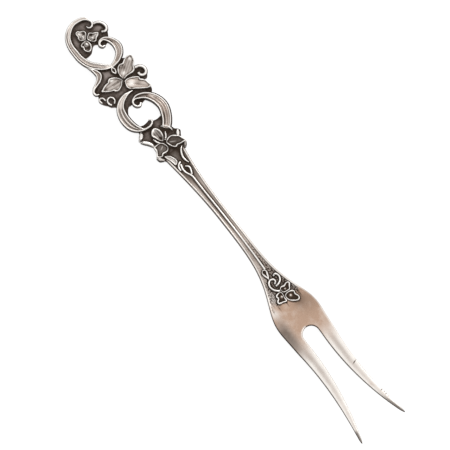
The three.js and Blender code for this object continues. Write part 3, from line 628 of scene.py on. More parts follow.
# Each leaf has its profile, the axis from its base to its tip, and its outline.
LEAVES = {
    "crest_petal_upper": (
        dished(0.6, rim=0.42, worn=0.1, spots=[
            (9.35, 1.3, 0.5, SEED), (8.2, 1.65, 0.5, PIT), (10.35, 1.45, 0.4, PIT), (9.2, 3.3, 0.6, GLEAM)]),
        [[9, 0], [9.1, 4.3]],
        [[9.1, 4.4], [9.9, 3.8], [10.3, 2.9], [11, 2.2], [11.2, 1.5], [10.7, 0.7], [9.8, 0], [8.9, -0.4],
         [8.1, 0], [7.5, 0.7], [7.1, 1.4], [7.4, 2.1], [8, 2.7], [8.3, 3.6]]),
    "crest_petal_left": (
        dished(0.5, rim=0.42, worn=0.1, spots=[
            (7, -1.3, 0.5, SEED), (6.2, -0.4, 0.5, PIT), (7.2, -2.3, 0.4, PIT), (5.4, -1.7, 0.6, GLEAM)]),
        [[8.4, -1], [4.2, -1.8]],
        [[8.6, -1], [7.9, -0.3], [7.2, 0.3], [6.4, 0.7], [5.6, 0.6], [5.1, 0], [4.8, -0.8], [4.2, -1.4],
         [4.1, -2.1], [4.5, -2.7], [5.2, -2.85], [5.9, -2.75], [6.6, -3.05], [7.4, -3], [8, -2.5]]),
    "crest_petal_right": (
        dished(0.7, rim=0.42, worn=0.1, spots=[
            (10.1, -1.75, 0.6, SEED), (11.6, -1.9, 0.7, PIT), (11, -3, 0.4, PIT), (9.6, -2.9, 0.35, PIT)]),
        [[9, -1], [12.9, -2.9]],
        [[8.8, -1.15], [9.6, -0.6], [10.5, -0.3], [11.5, -0.45], [12.4, -1], [13, -1.9], [13, -2.8],
         [12.3, -3.5], [11.3, -3.8], [10.5, -3.6], [9.9, -3.9], [9.3, -3.7], [8.9, -3], [8.8, -2.1]]),
    "middle_leaf_upper": (
        dished(0.4, rim=0.5, lines=1.1, warmth=0.2, worn=0.12, spots=[
            (25.2, 4.1, 0.8, SHADE), (24.6, 2.9, 0.5, SHADE), (27, 2.8, 0.7, GLEAM), (24, 7.9, 0.6, GLEAM)]),
        [[28.4, 1.7], [23.3, 8.9]],
        [[28.8, 1.7], [28.6, 3.2], [28.7, 4.6], [28.8, 6], [28.3, 6.9], [27.3, 7.3], [26.4, 8], [25.3, 8.85],
         [24.3, 9.25], [23, 9.2], [22.45, 8.4], [22.5, 7.1], [22.95, 5.8], [23.6, 4.6], [23.4, 3.6],
         [23.7, 2.6], [24.5, 1.8], [25.5, 1.25], [26.6, 1.05], [27.8, 1.15]]),
    "middle_leaf_right": (
        dished(0.2, rim=0.5, lines=0.6, warmth=0.4, worn=0.1, spots=[
            (31.7, 2.8, 1, GLEAM), (33.1, 5, 1, SHADE), (33.4, 1.8, 0.45, PIT), (34.3, 3, 0.5, SHADE)]),
        [[30, 1.2], [36.8, 7.9]],
        [[29.6, 1.4], [29.4, 2.5], [29.7, 3.8], [30.3, 5.2], [31, 6.2], [31.6, 6.6], [32.1, 6.5],
         [32.9, 7.2], [34.3, 7.95], [35.8, 8.4], [36.8, 8.15], [36.9, 6.9], [36.2, 5.5], [35.3, 4.1],
         [34.4, 2.8], [33.7, 1.7], [32.9, 0.9], [31.9, 0.55], [30.9, 0.8], [30.2, 1.1]]),
    "middle_leaf_lower": (
        dished(0.34, rim=0.5, lines=0.8, warmth=0.2, worn=0.08, spots=PRICKS + [
            (28.2, -0.5, 0.6, SHADE), (26.6, -2.4, 0.7, GLEAM), (30.4, -2.9, 0.6, SHADE),
            (28, -6, 0.7, SHADE)]),
        [[28.7, 0.9], [27.9, -7.9]],
        [[28.7, 1], [29.6, 0.3], [30.5, -0.6], [31.1, -1.7], [31.3, -2.8], [30.9, -3.7], [30.2, -4.2],
         [29.9, -5.1], [29.3, -6.2], [28.6, -7.2], [27.9, -8], [27.3, -7.1], [26.8, -6.1], [26.5, -5],
         [26.5, -4.1], [25.9, -3.6], [25.5, -2.7], [25.9, -1.5], [26.7, -0.4], [27.7, 0.4]]),
    "throat_petal_left": (
        dished(0.7, rim=0.34, soft=0.8, lines=1.2, worn=0, base=0.2, spots=[
            (50.9, -1.1, 0.9, GLEAM), (55, -0.8, 0.7, PIT)]),
        [[56.2, -0.9], [50.4, -1]],
        [[56.2, -0.7], [55.3, 0.1], [54.4, 0.6], [53.4, 0.85], [52.3, 0.75], [51.3, 0.4], [50.6, -0.2],
         [50.3, -1], [50.6, -1.8], [51.3, -2.5], [52.2, -2.95], [53, -2.85], [53.7, -2.4], [54.6, -2.1],
         [55.6, -1.5]]),
    "throat_petal_upper": (
        dished(0.94, rim=0.46, vein=0.7, worn=0.04), [[57.4, 0], [60.6, 6]],
        [[57.3, -0.1], [56.5, 0.8], [56.1, 2], [56.3, 3.2], [57, 4.3], [58, 5.2], [59.2, 5.9], [60.4, 6.3],
         [61, 6], [60.95, 4.9], [60.8, 3.7], [60.6, 2.7], [60.9, 1.9], [60.2, 1], [59.2, 0.35], [58.2, 0]]),
    "throat_petal_lower": (
        dished(0.84, rim=0.46, vein=0.7, worn=0.04), [[57.2, -1.2], [59.9, -6.1]],
        [[57.2, -1], [58.2, -0.6], [59.4, -0.7], [60.2, -1.4], [60.45, -2.5], [60.3, -3.5], [60.8, -4.2],
         [60.7, -5.2], [60.2, -6], [59.6, -6.2], [58.8, -5.7], [57.8, -5.1], [56.9, -5.1], [56.1, -4.9],
         [56, -3.6], [56.1, -2.4], [56.5, -1.6]]),
    "bud": (
        dished(1.0, rim=0.5, soft=0.12, worn=0, base=1), [[22.6, 0.5], [25.6, 0.4]],
        [[22.6, 0.5], [23.3, 1.15], [24.2, 1.3], [25.1, 1], [25.6, 0.4], [25, -0.2], [24, -0.45],
         [23.1, -0.1]]),
}
for name, (profile, axis, outline) in LEAVES.items():
    struck_leaf(name, HANDLE, outline, axis, LEAF_HEIGHT, profile)

# Curls, sepals, beads and knobs of the handle: thin round wires and drops struck with the rest.
# The curls close round dark eyes at the edge of the handle, the sepals and small leaves fill the throat, and
# a collar closes the broad end of the right-hand ring. All are worn bright along the top, with painted shade
# down the sides.
CURL_HEIGHT = 0.95
WIRE_COLUMNS = 19


def even(half, points):
    """Rows of one half width along points."""
    return [[x, y, half] for x, y in points]


# Each curl has its profile and its rows of x, y and half width.
CURLS = {
    "ring_collar": (wire(0), even(0.32, [[51.3, 2.1], [51.8, 3.1], [52.6, 3.8], [53.6, 4.3], [54.5, 4.5]])),
    "crest_curl": (wire(0, 0.2), [
        [5.2, 5.1, 0.48], [5.65, 6.4, 0.55], [6.5, 7.4, 0.6], [7.7, 8, 0.64], [8.9, 8.1, 0.64],
        [9.8, 7.6, 0.62], [10.05, 6.7, 0.58], [9.6, 5.9, 0.52]]),
    "middle_upper_curl": (wire(0, 0.2), even(0.64, [
        [27.7, 7.7], [28.1, 9], [29, 9.9], [30.1, 10.2], [31.2, 9.95], [31.8, 9.1], [31.7, 8.1],
        [31.1, 7.45], [30.2, 7.35]])),
    "middle_lower_curl_large": (wire(0), even(0.38, [
        [34, -6.5], [33.2, -5.85], [32.2, -5.9], [31.4, -6.65], [31.4, -7.55], [32, -8.25], [33.1, -8.35],
        [33.9, -7.9]])),
    "middle_lower_curl_small": (wire(0.1), even(0.36, [
        [31.2, -8.7], [30.3, -8.9], [29.7, -9.5], [29.7, -10.2], [30.3, -10.5], [31.2, -10.3]])),
    "throat_sepal_upper": (wire(0), even(0.38, [[56.1, 0.4], [55.2, 1.3], [54, 1.9]])),
    "throat_sepal_lower": (wire(0), even(0.38, [[56.2, -2.1], [55.2, -2.8], [53.8, -3.2]])),
    "throat_bead": (wire(0), [[57.8, 4.9, 0.4], [57.2, 5.3, 0.65], [56.6, 5.65, 0.68], [56, 6.1, 0.4]]),
    "throat_leaf_lower": (wire(0), [
        [55.8, -4.7, 0.4], [55, -4.9, 0.6], [53.7, -5.6, 0.75], [52.6, -6.6, 0.7], [51.9, -7.4, 0.4]]),
    "throat_leaf_corner": (wire(0.04), [
        [49, -5.6, 0.5], [49.8, -5.95, 0.75], [50.4, -6.6, 0.75], [50.9, -7.5, 0.4]]),
    "throat_knob_upper": (wire(0.6), [[61, 5.9, 0.35], [61.7, 5.4, 0.55], [62.5, 4.7, 0.4]]),
    "throat_knob_lower": (wire(0.3, 0.4), [[60.3, -6.2, 0.45], [61.2, -5.7, 0.75], [62, -4.8, 0.5]]),
}
for name, (profile, rows) in CURLS.items():
    struck_band(name, HANDLE, rows, WIRE_COLUMNS, CURL_HEIGHT, profile)

# Ground of the handle: the flat plate that the die leaves between the ornament, pierced with a saw.
# Its face is matt and nearly black with tarnish, kept darkest by painted shade close to every wall and sawn
# edge, and paler where it lies open. Its back is plain and rubbed by the table.
STEM_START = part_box("stem")[0].x / MM - CREST_AT
STEM_ROOT_HALF = 4.2
GROUND_STEP = 0.22
GROUND_REACH = 11.2
GROUND_MARGIN = 1
GROUND_OVERHANG = 0.45 * GROUND_STEP
GROUND_LEAST_SLOPE = 0.5
GROUND_CLEARANCE = 0.02
GROUND_SAG = 0.14
GROUND_SAG_REACH = (0.1, 1.2)
GROUND_STAIN = 0.98
GROUND_OPEN_WEAR = 0.06
GROUND_WEAR_REACH = (0.3, 1.1)
SAW_WEAR_REACH = (0.2, 1)
GROUND_BACK_STAIN = 0.14
BRIGHT_GROUND = (0.74, 0.67, 0.65)
# Each field is the outline of a stretch of plate that the saw leaves.
GROUND_FIELDS = [
    [[1.3, 0.3], [1.9, 2.8], [2.9, 3.8], [4.4, 4.5], [5.2, 4.9], [5.7, 6.3], [6.6, 7.3], [7.7, 7.9], [9, 8],
     [11.3, 7.2], [12.8, 6], [12.1, 4.4], [12.2, 2.9], [12.6, 1.9], [12, 0.9], [12, 0], [13.9, -2.4],
     [13.8, -5.5], [10.5, -6.5], [7.2, -6.5], [4.4, -5.5], [2.5, -3.8], [1.5, -1.7]],
    [[12.4, 4.3], [12.4, 2.9], [13.2, 2.1], [14.2, 2.6], [14.4, 3.4], [14.1, 4.6], [13.6, 5.9]],
    [[22.1, 1], [21.6, 4], [22.3, 6.4], [24, 7.5], [27.9, 8], [28.4, 9.2], [29.9, 10.2], [31.4, 10],
     [32.5, 9.6], [33.3, 8.8], [33.4, 7.8], [34.8, 7.4], [36.6, 8], [38, 7.7], [38.9, 6.6], [38.6, 5.2],
     [37.8, 3], [37, 1], [37.1, -0.2], [37.9, -1.2], [38.3, -2.1], [38.2, -2.9], [38.8, -3.8], [39.9, -4.6],
     [41.4, -5.6], [39.5, -6.3], [37.2, -6.3], [35.4, -7.2], [34.6, -8.4], [33.4, -9.1], [32.6, -9.8],
     [31.4, -10.5], [29.5, -10.4], [28.4, -9.9], [26.5, -10.2], [25.4, -9.4], [24.7, -7.9], [23.8, -6.2],
     [22.3, -5.1], [20.3, -5], [19.8, -3.6], [21.2, -1.4]],
    [[37.4, 2], [37.2, 0.2], [37.8, -0.9], [39.1, -1.1], [40, -0.3], [40.2, 0.9], [39.9, 1.6], [39.4, 3.6],
     [38.6, 3.8]],
    [[46.7, -0.2], [47.2, 0.5], [48.2, 0.2], [48.7, -1.3], [48.6, -3.2], [47.9, -4.6], [46.8, -4.8],
     [46.7, -4.2], [47, -2.8], [46.9, -1.4]],
    [[STEM_START, -STEM_ROOT_HALF], [STEM_START, STEM_ROOT_HALF], [62.5, 4.7], [61.7, 5.5], [60.6, 6],
     [58.9, 5.7], [57.7, 6.3], [56.4, 7], [55.5, 6.5], [54.7, 5.6], [53.6, 5.2], [52.6, 4.6], [50.6, 5.3],
     [47.9, 6], [48, 2.5], [47.8, 0.7], [48.5, 0.2], [48.9, -1.2], [48.5, -3.2], [47.4, -5.2], [48.5, -6.1],
     [49.8, -6.1], [51.2, -7.7], [51.8, -7.5], [52.6, -6.7], [53.7, -5.7], [55.2, -4.9], [57, -4.9],
     [58.6, -5.6], [60.2, -6.2], [61.2, -5.6], [62.2, -4.7]],
]
# Each worn place has its x, y and reach, and how much tarnish it loses.
GROUND_WORN = [
    [3.6, 1.2, 1.6, 0.14], [7.4, 5.8, 1.4, 0.34], [7.6, -4.6, 1.6, 0.24], [23.6, -2.4, 2.4, 0.34],
    [32.4, -2.5, 1.5, 0.14], [50.2, 1.4, 1.2, 0.1], [51.2, -3.4, 1.4, 0.1], [62.4, -0.6, 1.5, 0.24]]


def clearance(x, y, lines):
    """Distance from each point to the nearest side of the lines, each with its own half width."""
    def gap(line):
        return (np.hypot(x[..., None] - line[:, 0], y[..., None] - line[:, 1]) - line[:, 2]).min(-1)
    return np.min([gap(line) for line in lines], axis=0)


def pierced_ground():
    """Plate over a fine square grid: cells inside the fields are kept, and free corners move to an outline.

    A corner moves down the slope of its distance from the outline. The face sags a little away from the
    ornament, so it turns up to meet every wall. It is black with tarnish, with painted shade close to the
    ornament and the sawn edges, and wears paler in the open and in places.
    """
    along = np.arange(0, STEM_START + GROUND_MARGIN, GROUND_STEP)
    over = np.arange(-GROUND_REACH, GROUND_REACH, GROUND_STEP)
    grid_x, grid_y = np.meshgrid(along, over, indexing="ij")
    outlines = [stroke(field, closed=True) for field in GROUND_FIELDS]
    inside = np.max([inside_distance(grid_x, grid_y, outline) for outline in outlines], axis=0)
    slope_x, slope_y = np.gradient(inside, GROUND_STEP)
    steep = np.maximum(slope_x**2 + slope_y**2, GROUND_LEAST_SLOPE)
    cells = quads(*grid_x.shape, False)
    cells = cells[(inside.ravel()[cells] > -GROUND_OVERHANG).all(1)]
    used, cells = np.unique(cells, return_inverse=True)
    cells = cells.reshape(-1, 4)
    count = len(used)
    edges = np.stack([cells, np.roll(cells, -1, 1)], -1).reshape(-1, 2)
    free = ~np.isin(edges[:, 1] * count + edges[:, 0], edges[:, 0] * count + edges[:, 1])
    rim = edges[free]
    move = np.zeros(count)
    move[rim] = (inside / steep).ravel()[used][rim]
    x = grid_x.ravel()[used] - move * slope_x.ravel()[used]
    y = grid_y.ravel()[used] - move * slope_y.ravel()[used]
    clear = clearance(x, y, HANDLE.lines)
    face_z = PLATE_THICKNESS - GROUND_CLEARANCE - GROUND_SAG * ease(clear, *GROUND_SAG_REACH)
    points = np.concatenate([np.stack([x, y, face_z], -1), np.stack([x, y, 0 * x], -1)])
    walls = np.stack([rim[:, 1], rim[:, 0], rim[:, 0] + count, rim[:, 1] + count], -1)
    faces = np.concatenate([cells, cells[:, ::-1] + count, walls])
    worn = sum(loss * blob(x, y, at_x, at_y, reach) for at_x, at_y, reach, loss in GROUND_WORN)
    from_saw = np.maximum(inside.ravel()[used], 0)
    # Painted shade: the face keeps its darkest tarnish close to the ornament and the sawn edges.
    open_face = ease(clear, *GROUND_WEAR_REACH) * ease(from_saw, *SAW_WEAR_REACH)
    stain_and_shade = GROUND_STAIN - (GROUND_OPEN_WEAR + worn) * open_face
    return points, [faces], np.concatenate([stain_and_shade, 0 * x + GROUND_BACK_STAIN])


ground_silver = silver("ground_silver", BRIGHT_GROUND, break_up=0.6, wear=0.3)
points, faces, tarnish_and_shade = pierced_ground()
fields = {"tarnish_and_shade": tarnish_and_shade, "bloom": 0 * tarnish_and_shade}
silver_piece("pierced_ground", points, faces, fields, ground_silver, ["handle_plate"])

# Ornament of the stem and head: long leaves and a tear where the stem leaves the throat, the reed down its
# middle, and on the head a drop, two curls and a small blossom whose petals hold a seed each.
# All are struck low on the face of the blank and stand out white against the dark matting.
HEAD_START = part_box("head")[0].x / MM - CREST_AT
TINES_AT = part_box("tine_left")[0].x / MM - CREST_AT
FORK_LENGTH = cad_high.x / MM - CREST_AT
WAIST_AT = HEAD_START - 23
ARCH_CREST_AT = HEAD_START - 9
SHOULDER_AT = TINES_AT - 10
HEEL_AT = TINES_AT - 2
STEM_THICKNESS = 2.2
HEAD_THICKNESS = 1.9
TIP_THICKNESS = 0.9
ARCH_RISE = 6.5
TIP_RISE = 4.0
FACE_RELIEF_HEIGHT = 0.55
SUNK = 0.25


def back_height(x):
    """Height of the back: flat handle, cosine arch under the stem, heel, and a parabola up to the points."""
    arch = ease(x, STEM_START, ARCH_CREST_AT) - ease(x, ARCH_CREST_AT, HEEL_AT)
    lift = np.clip((x - HEEL_AT) / (FORK_LENGTH - HEEL_AT), 0, 1)
    return ARCH_RISE * arch + TIP_RISE * lift**2


def thickness(x):
    """Thickness from back to face, eased between the handle, the waist, the shoulders and the points."""
    stem = (STEM_THICKNESS - PLATE_THICKNESS) * ease(x, STEM_START, WAIST_AT)
    head = (HEAD_THICKNESS - STEM_THICKNESS) * ease(x, WAIST_AT, SHOULDER_AT)
    tip = (TIP_THICKNESS - HEAD_THICKNESS) * ease(x, TINES_AT, FORK_LENGTH)
    return PLATE_THICKNESS + stem + head + tip


def on_face(x):
    """Height of the blank's face under its ornament: the back plus the thickness."""
    return back_height(x) + thickness(x)


def in_face(x):
    """Height of the foot of the blank's ornament, sunk into the face."""
    return on_face(x) - SUNK


def seeded(rim, x, y, reach):
    """Profile of a petal of the small blossom: a deep rosy dish inside a rim, with a seed at a place."""
    return dished(0.98, rim=rim, soft=0.1, depth=0.6, warmth=0.8, worn=0, spots=[(x, y, reach, SEED)])


STEM = Ground(STEM_START, on_face, in_face, [])
REED = Ground(STEM_START, on_face, in_face, [])
HEAD = Ground(HEAD_START, on_face, in_face, STEM.lines)
REED_BEND = [[4.2, -0.7], [5.7, -1.15], [7.2, -1.1], [8.3, -0.75], [9.4, -0.25], [10.5, 0.05], [13, 0.05]]
REED_END = HEAD_START - STEM_START + 2.4
REED_PLACES = 9
REED_RUN = [[x, 0] for x in np.linspace(REED_BEND[-1][0], REED_END, REED_PLACES)[1:]]
# Each wire has its ground and its rows; each leaf its ground, profile, axis and outline.
FACE_WIRES = {
    "stem_leaf_upper": (STEM, [
        [-1.3, 3.7, 0.2], [-0.5, 2.8, 0.34], [0.6, 2.15, 0.4], [2.1, 1.65, 0.4], [3.6, 1.7, 0.36],
        [5, 2.15, 0.2]]),
    "stem_leaf_small": (STEM, even(0.38, [
        [3.2, -0.4], [3.5, -1.1], [4, -1.65], [4.8, -2.05], [5.7, -2.05]])),
    "stem_tear": (STEM, even(0.36, [[5.7, 0.5], [6.4, 1.15], [7.2, 1.25], [8.2, 0.95], [9.3, 0.45]])),
    "stem_reed": (REED, even(0.38, REED_BEND + REED_RUN)),
    "head_curl_large": (HEAD, even(0.37, [
        [8.85, 0], [8.45, 0.5], [7.75, 0.6], [7.2, 0.1], [7, -0.75], [7.35, -1.6], [8.15, -2.1],
        [9.25, -2.2], [10.45, -1.8], [11.35, -1.05], [11.9, -0.25]])),
    "head_curl_small": (HEAD, even(0.37, [
        [6.25, 1.35], [6.05, 1.95], [6.55, 2.55], [7.45, 2.8], [8.45, 2.55], [9.25, 1.85], [9.7, 0.85],
        [9.85, 0]])),
}
FACE_LEAVES = {
    "stem_leaf_lower": (STEM, dished(0.2, worn=0.05), [[-1.7, -3.6], [3, -1.8]], [
        [-1.8, -3.8], [-1.6, -3], [-0.9, -2], [0.2, -1.35], [1.4, -0.95], [2.4, -1], [3, -1.6], [3.2, -2.4],
        [2, -2.75], [0.6, -3.1], [-0.6, -3.5]]),
    "head_drop": (HEAD, dished(1.0, rim=0.55, soft=0.1, worn=0), [[2.6, -0.8], [6.6, -1]], [
        [2.5, -0.8], [2.9, 0], [3.7, 0.25], [4.8, 0], [5.8, -0.5], [6.6, -1], [5.6, -1.4], [4.6, -1.8],
        [3.6, -1.9], [2.8, -1.5]]),
    "head_petal_left": (
        HEAD, seeded(0.5, 12.5, 1.9, 0.32), [[13, 0.6], [11.6, 4.5]], [
            [11.75, 4.65], [12.75, 3.95], [13.65, 3.25], [13.65, 2.05], [13.4, 0.85], [12.55, 0.3],
            [11.45, 0.35], [10.95, 1.25], [11.15, 2.25], [10.85, 3.35], [11.05, 4.35]]),
    "head_petal_right": (
        HEAD, seeded(0.52, 15.55, 2.2, 0.44), [[14, 1], [18.5, 4.4]], [
            [14.2, 0.75], [13.95, 1.45], [13.95, 2.65], [14.25, 3.65], [14.85, 4.25], [15.5, 4.2], [16, 4.1],
            [16.7, 4.45], [17.6, 4.65], [18.4, 4.2], [18.6, 3.45], [18.2, 2.4], [17.6, 1.5], [16.8, 0.75],
            [16, 0.3], [15, 0.25]]),
    "head_petal_lower": (
        HEAD, seeded(0.5, 14.2, -0.8, 0.44), [[14, 0.1], [15.2, -3.4]], [
            [12.55, 0], [12.35, -0.75], [12.35, -1.75], [12.65, -2.45], [13.35, -2.65], [13.95, -2.45],
            [14.35, -3.05], [14.95, -3.45], [15.65, -3.35], [16.05, -2.65], [16.15, -1.65], [16.45, -0.95],
            [16.5, -0.2], [16, 0.1], [15, 0], [13.4, 0.2]]),
}
for name, (ground, rows) in FACE_WIRES.items():
    struck_band(name, ground, rows, WIRE_COLUMNS, FACE_RELIEF_HEIGHT, wire(0))
for name, (ground, profile, axis, outline) in FACE_LEAVES.items():
    struck_leaf(name, ground, outline, axis, FACE_RELIEF_HEIGHT, profile)

# Blank of the fork: the stem, head and two tines, sawn from one bar of silver, bent and filed.
# A bead is raised along each edge of the stem, pebbled matting lies where the stem opens into the head,
# and the tines are rounded and lifted to their points. The head has a rosy bloom, the tines are worn white.
LEFT = 1
RIGHT = -1
SLOT_RADIUS = 3.2
SLOT_CENTRE = TINES_AT - 5 + SLOT_RADIUS
WAIST_HALF = 2.15
FLARE_POWER = 2.4
SHOULDER_HALF = 9.15
SHOULDER_SOFTENING = 2.5
SOFTENING_SAMPLES = 11
SOFTENING_STARTS = (SHOULDER_AT - 12, SHOULDER_AT - 8)
SOFTENING_ENDS = (TINES_AT + 6, TINES_AT + 10)
TINE_ROOT_HALF = 2.65
TINE_TIP_HALF = 0.3
TINE_TAPER = 0.75
TINE_PATH = np.array([5.85, 4.6, 6.2, 9.75])
POINT_ROUND = 2.2
POINT_BLUNT = 0.99


def point_share(x):
    """1 along the tine, closing as a quarter ellipse over the last stretch before its blunt point."""
    share = np.clip(1 - (FORK_LENGTH - x) / POINT_ROUND, 0, POINT_BLUNT)
    return np.sqrt(1 - share**2)


def tine_edges(x):
    """Inner and outer side of a tine: a cubic Bezier centreline with a half width that tapers as a power."""
    t = np.clip((x - TINES_AT) / (FORK_LENGTH - TINES_AT), 0, 1)
    weights = [(1 - t) ** 3, 3 * t * (1 - t) ** 2, 3 * t**2 * (1 - t), t**3]
    centre = sum(weight * place for weight, place in zip(weights, TINE_PATH))
    half = TINE_TIP_HALF + (TINE_ROOT_HALF - TINE_TIP_HALF) * (1 - t) ** TINE_TAPER
    return centre - half * point_share(x), centre + half * point_share(x)


def drawn_outer_edge(x):
    """Half width: a parabola to the waist, a power flare to the shoulders, then the side of the tine."""
    taper = np.clip((WAIST_AT - x) / (WAIST_AT - STEM_START), 0, None) ** 2
    flare = np.clip((x - WAIST_AT) / (SHOULDER_AT - WAIST_AT), 0, 1) ** FLARE_POWER
    shoulder = (SHOULDER_HALF - WAIST_HALF) * ease(flare, 0, 1)
    tine_outer = tine_edges(np.array(TINES_AT))[1]
    meet = (tine_outer - SHOULDER_HALF) * ease(x, SHOULDER_AT, TINES_AT)
    edge = WAIST_HALF + (STEM_ROOT_HALF - WAIST_HALF) * taper + shoulder + meet
    return np.where(x > TINES_AT, tine_edges(x)[1], edge)


def outer_edge(x):
    """Drawn half width, averaged over a few millimetres round the shoulders so that no corner is left."""
    shifts = np.linspace(-SHOULDER_SOFTENING, SHOULDER_SOFTENING, SOFTENING_SAMPLES)
    soft = np.mean([drawn_outer_edge(x + shift) for shift in shifts], axis=0)
    share = ease(x, *SOFTENING_STARTS) * (1 - ease(x, *SOFTENING_ENDS))
    return soft * share + drawn_outer_edge(x) * (1 - share)


def inner_edge(x):
    """Inner side: the centreline, a quarter circle round the root of the slot, then the side of the tine."""
    into_slot = np.clip(SLOT_CENTRE - x, 0, SLOT_RADIUS)
    arc = np.sqrt(SLOT_RADIUS**2 - into_slot**2)
    return np.where(x > TINES_AT, tine_edges(x)[0], arc)


PEBBLE_SPACING = 0.66
PEBBLE_TOP = 0.15
PEBBLE_FOOT = 0.75
JITTER_WAVES = ((12.99, 78.23), (39.35, 11.14))
JITTER_SCALE = 437.58
JITTER_FROM = 0.2
JITTER_SHARE = 0.6


def pebbling(x, y):
    """Pebbled matting: 1 near each point of a jittered grid, eased to 0 a share of the spacing away.

    The point of each cell is shifted by the fraction left of a large sine of the cell's numbers.
    """
    column, row = np.floor(x / PEBBLE_SPACING), np.floor(y / PEBBLE_SPACING)
    nearest = np.full(x.shape, PEBBLE_SPACING)
    for step_x in (-1, 0, 1):
        for step_y in (-1, 0, 1):
            cell_x, cell_y = column + step_x, row + step_y
            waves = [np.sin(cell_x * per_x + cell_y * per_y) for per_x, per_y in JITTER_WAVES]
            shift_x, shift_y = [JITTER_FROM + JITTER_SHARE * (wave * JITTER_SCALE % 1) for wave in waves]
            off_x = (cell_x + shift_x) * PEBBLE_SPACING - x
            off_y = (cell_y + shift_y) * PEBBLE_SPACING - y
            nearest = np.minimum(nearest, np.hypot(off_x, off_y))
    return 1 - ease(nearest, PEBBLE_TOP * PEBBLE_SPACING, PEBBLE_FOOT * PEBBLE_SPACING)


MATTED_FROM = 104.0
MATTED_FULL_FROM = 109
MATTED_FULL_TO = 129
MATTED_TO = 132.5
MATTED_RAGGED = ((1.2, 2.1, 0), (0.8, 5.3, 1))
MATTED_EDGE = (0.6, 1)
LOWER_STEM_SIDE = (0, 0.6)
LOWER_STEM_ENDS = (HEAD_START + 3, HEAD_START + 8)
LOWER_STEM_PLAIN = 0.6


def matting(x, y, from_outer):
    """Share of matting: eased in along the stem and out at a ragged end on the head, and clear of the edge.

    The ragged end is a sum of waves across. There is less matting on the -Y side of the stem.
    """
    ragged = sum(size * np.sin(per_y * y + shift) for size, per_y, shift in MATTED_RAGGED)
    lower_stem = ease(-y, *LOWER_STEM_SIDE) * (1 - ease(x, *LOWER_STEM_ENDS))
    share = ease(x, MATTED_FROM, MATTED_FULL_FROM) * (1 - ease(x + ragged, MATTED_FULL_TO, MATTED_TO))
    return share * ease(from_outer, *MATTED_EDGE) * (1 - LOWER_STEM_PLAIN * lower_stem)


# Each nick has its place along the tine and its reach in from the edge.
NICKS = np.array([[178, 1.2], [179.2, 0.7], [180.2, 0.9], [181.6, 0.6]])
NICK_SLANT = 0.3
NICK_SPREAD = 0.16
NICK_FADE = 0.3
SCRATCH_AT = (163.9, 6.4)
SCRATCH_SLANT = 0.35
SCRATCH_SPREAD = 0.18
SCRATCH_REACH = 0.75


def nicked(x, from_outer):
    """Nicks in the outer edge of a tine: slanting bells along, each eased out at its own distance inward."""
    def nick(at, deep):
        inward = 1 - ease(from_outer, NICK_FADE * deep, deep)
        return bump(x, at + NICK_SLANT * from_outer, NICK_SPREAD) * inward
    return sum(nick(at, deep) for at, deep in NICKS)


def scratched(x, y):
    """Scratch across a tine: a slanting bell along times a bell across."""
    at_x, at_y = SCRATCH_AT
    return bump(x + SCRATCH_SLANT * (y - at_y), at_x, SCRATCH_SPREAD) * bump(y, at_y, SCRATCH_REACH)


THROAT_TUCK = 2
COARSE_STEP = 0.5
MATTED_STEP = 0.17
SCRATCH_STEP = 0.1
NICK_STEP = 0.08
DETAIL_MARGIN = 1
SLOT_LEAD_STATIONS = 12
SLOT_TURN_STATIONS = 24
POINT_STATIONS = 14


def stations():
    """Places along the blank at which its section is taken, close together where the detail is fine."""
    slot_root = SLOT_CENTRE - SLOT_RADIUS
    slot_lead = slot_root - DETAIL_MARGIN
    first_nick, last_nick = NICKS[0, 0] - DETAIL_MARGIN, NICKS[-1, 0] + DETAIL_MARGIN
    first_scratch, last_scratch = SCRATCH_AT[0] - DETAIL_MARGIN, SCRATCH_AT[0] + DETAIL_MARGIN
    return np.concatenate([
        np.arange(STEM_START - THROAT_TUCK, MATTED_FROM, COARSE_STEP),
        np.arange(MATTED_FROM, MATTED_TO, MATTED_STEP),
        np.arange(MATTED_TO, slot_lead, COARSE_STEP),
        np.linspace(slot_lead, slot_root, SLOT_LEAD_STATIONS, endpoint=False),
        SLOT_CENTRE - SLOT_RADIUS * np.cos(np.linspace(0, np.pi / 2, SLOT_TURN_STATIONS)),
        np.arange(SLOT_CENTRE, first_scratch, COARSE_STEP)[1:],
        np.arange(first_scratch, last_scratch, SCRATCH_STEP),
        np.arange(last_scratch, first_nick, COARSE_STEP),
        np.arange(first_nick, last_nick, NICK_STEP),
        np.arange(last_nick, FORK_LENGTH - POINT_ROUND, COARSE_STEP),
        FORK_LENGTH - POINT_ROUND * (1 - np.sin(np.linspace(0, np.pi / 2, POINT_STATIONS))),
    ])[:, None]


RIM_PLACE = 0.5
THROAT_ENDS = (STEM_START + 6, STEM_START + 17)
THROAT_MOUTH = (STEM_START, STEM_START + 3)
THROAT_STAIN = 0.82
THROAT_MOUTH_STAIN = 0.14
THROAT_BLOOM = 0.3
WORN_THROAT = (63, -0.4, 1.8)
WORN_THROAT_LOSS = 0.16
STEM_ENDS = (HEAD_START + 8, HEAD_START + 16)
STEM_STAIN = 0.3
STEM_STAIN_FADES = (86, 104)
STEM_STAIN_LOSS = 0.16
STEM_BLOOM = 0.35
REED_SHADE = 0.6
REED_SHADE_FADES = (92, 106)
REED_SHADE_LOSS = 0.3
REED_SHADE_SIDES = (0.45, 1.4)
REED_SHADE_ENDS = (HEAD_START + 1, HEAD_START + 3)
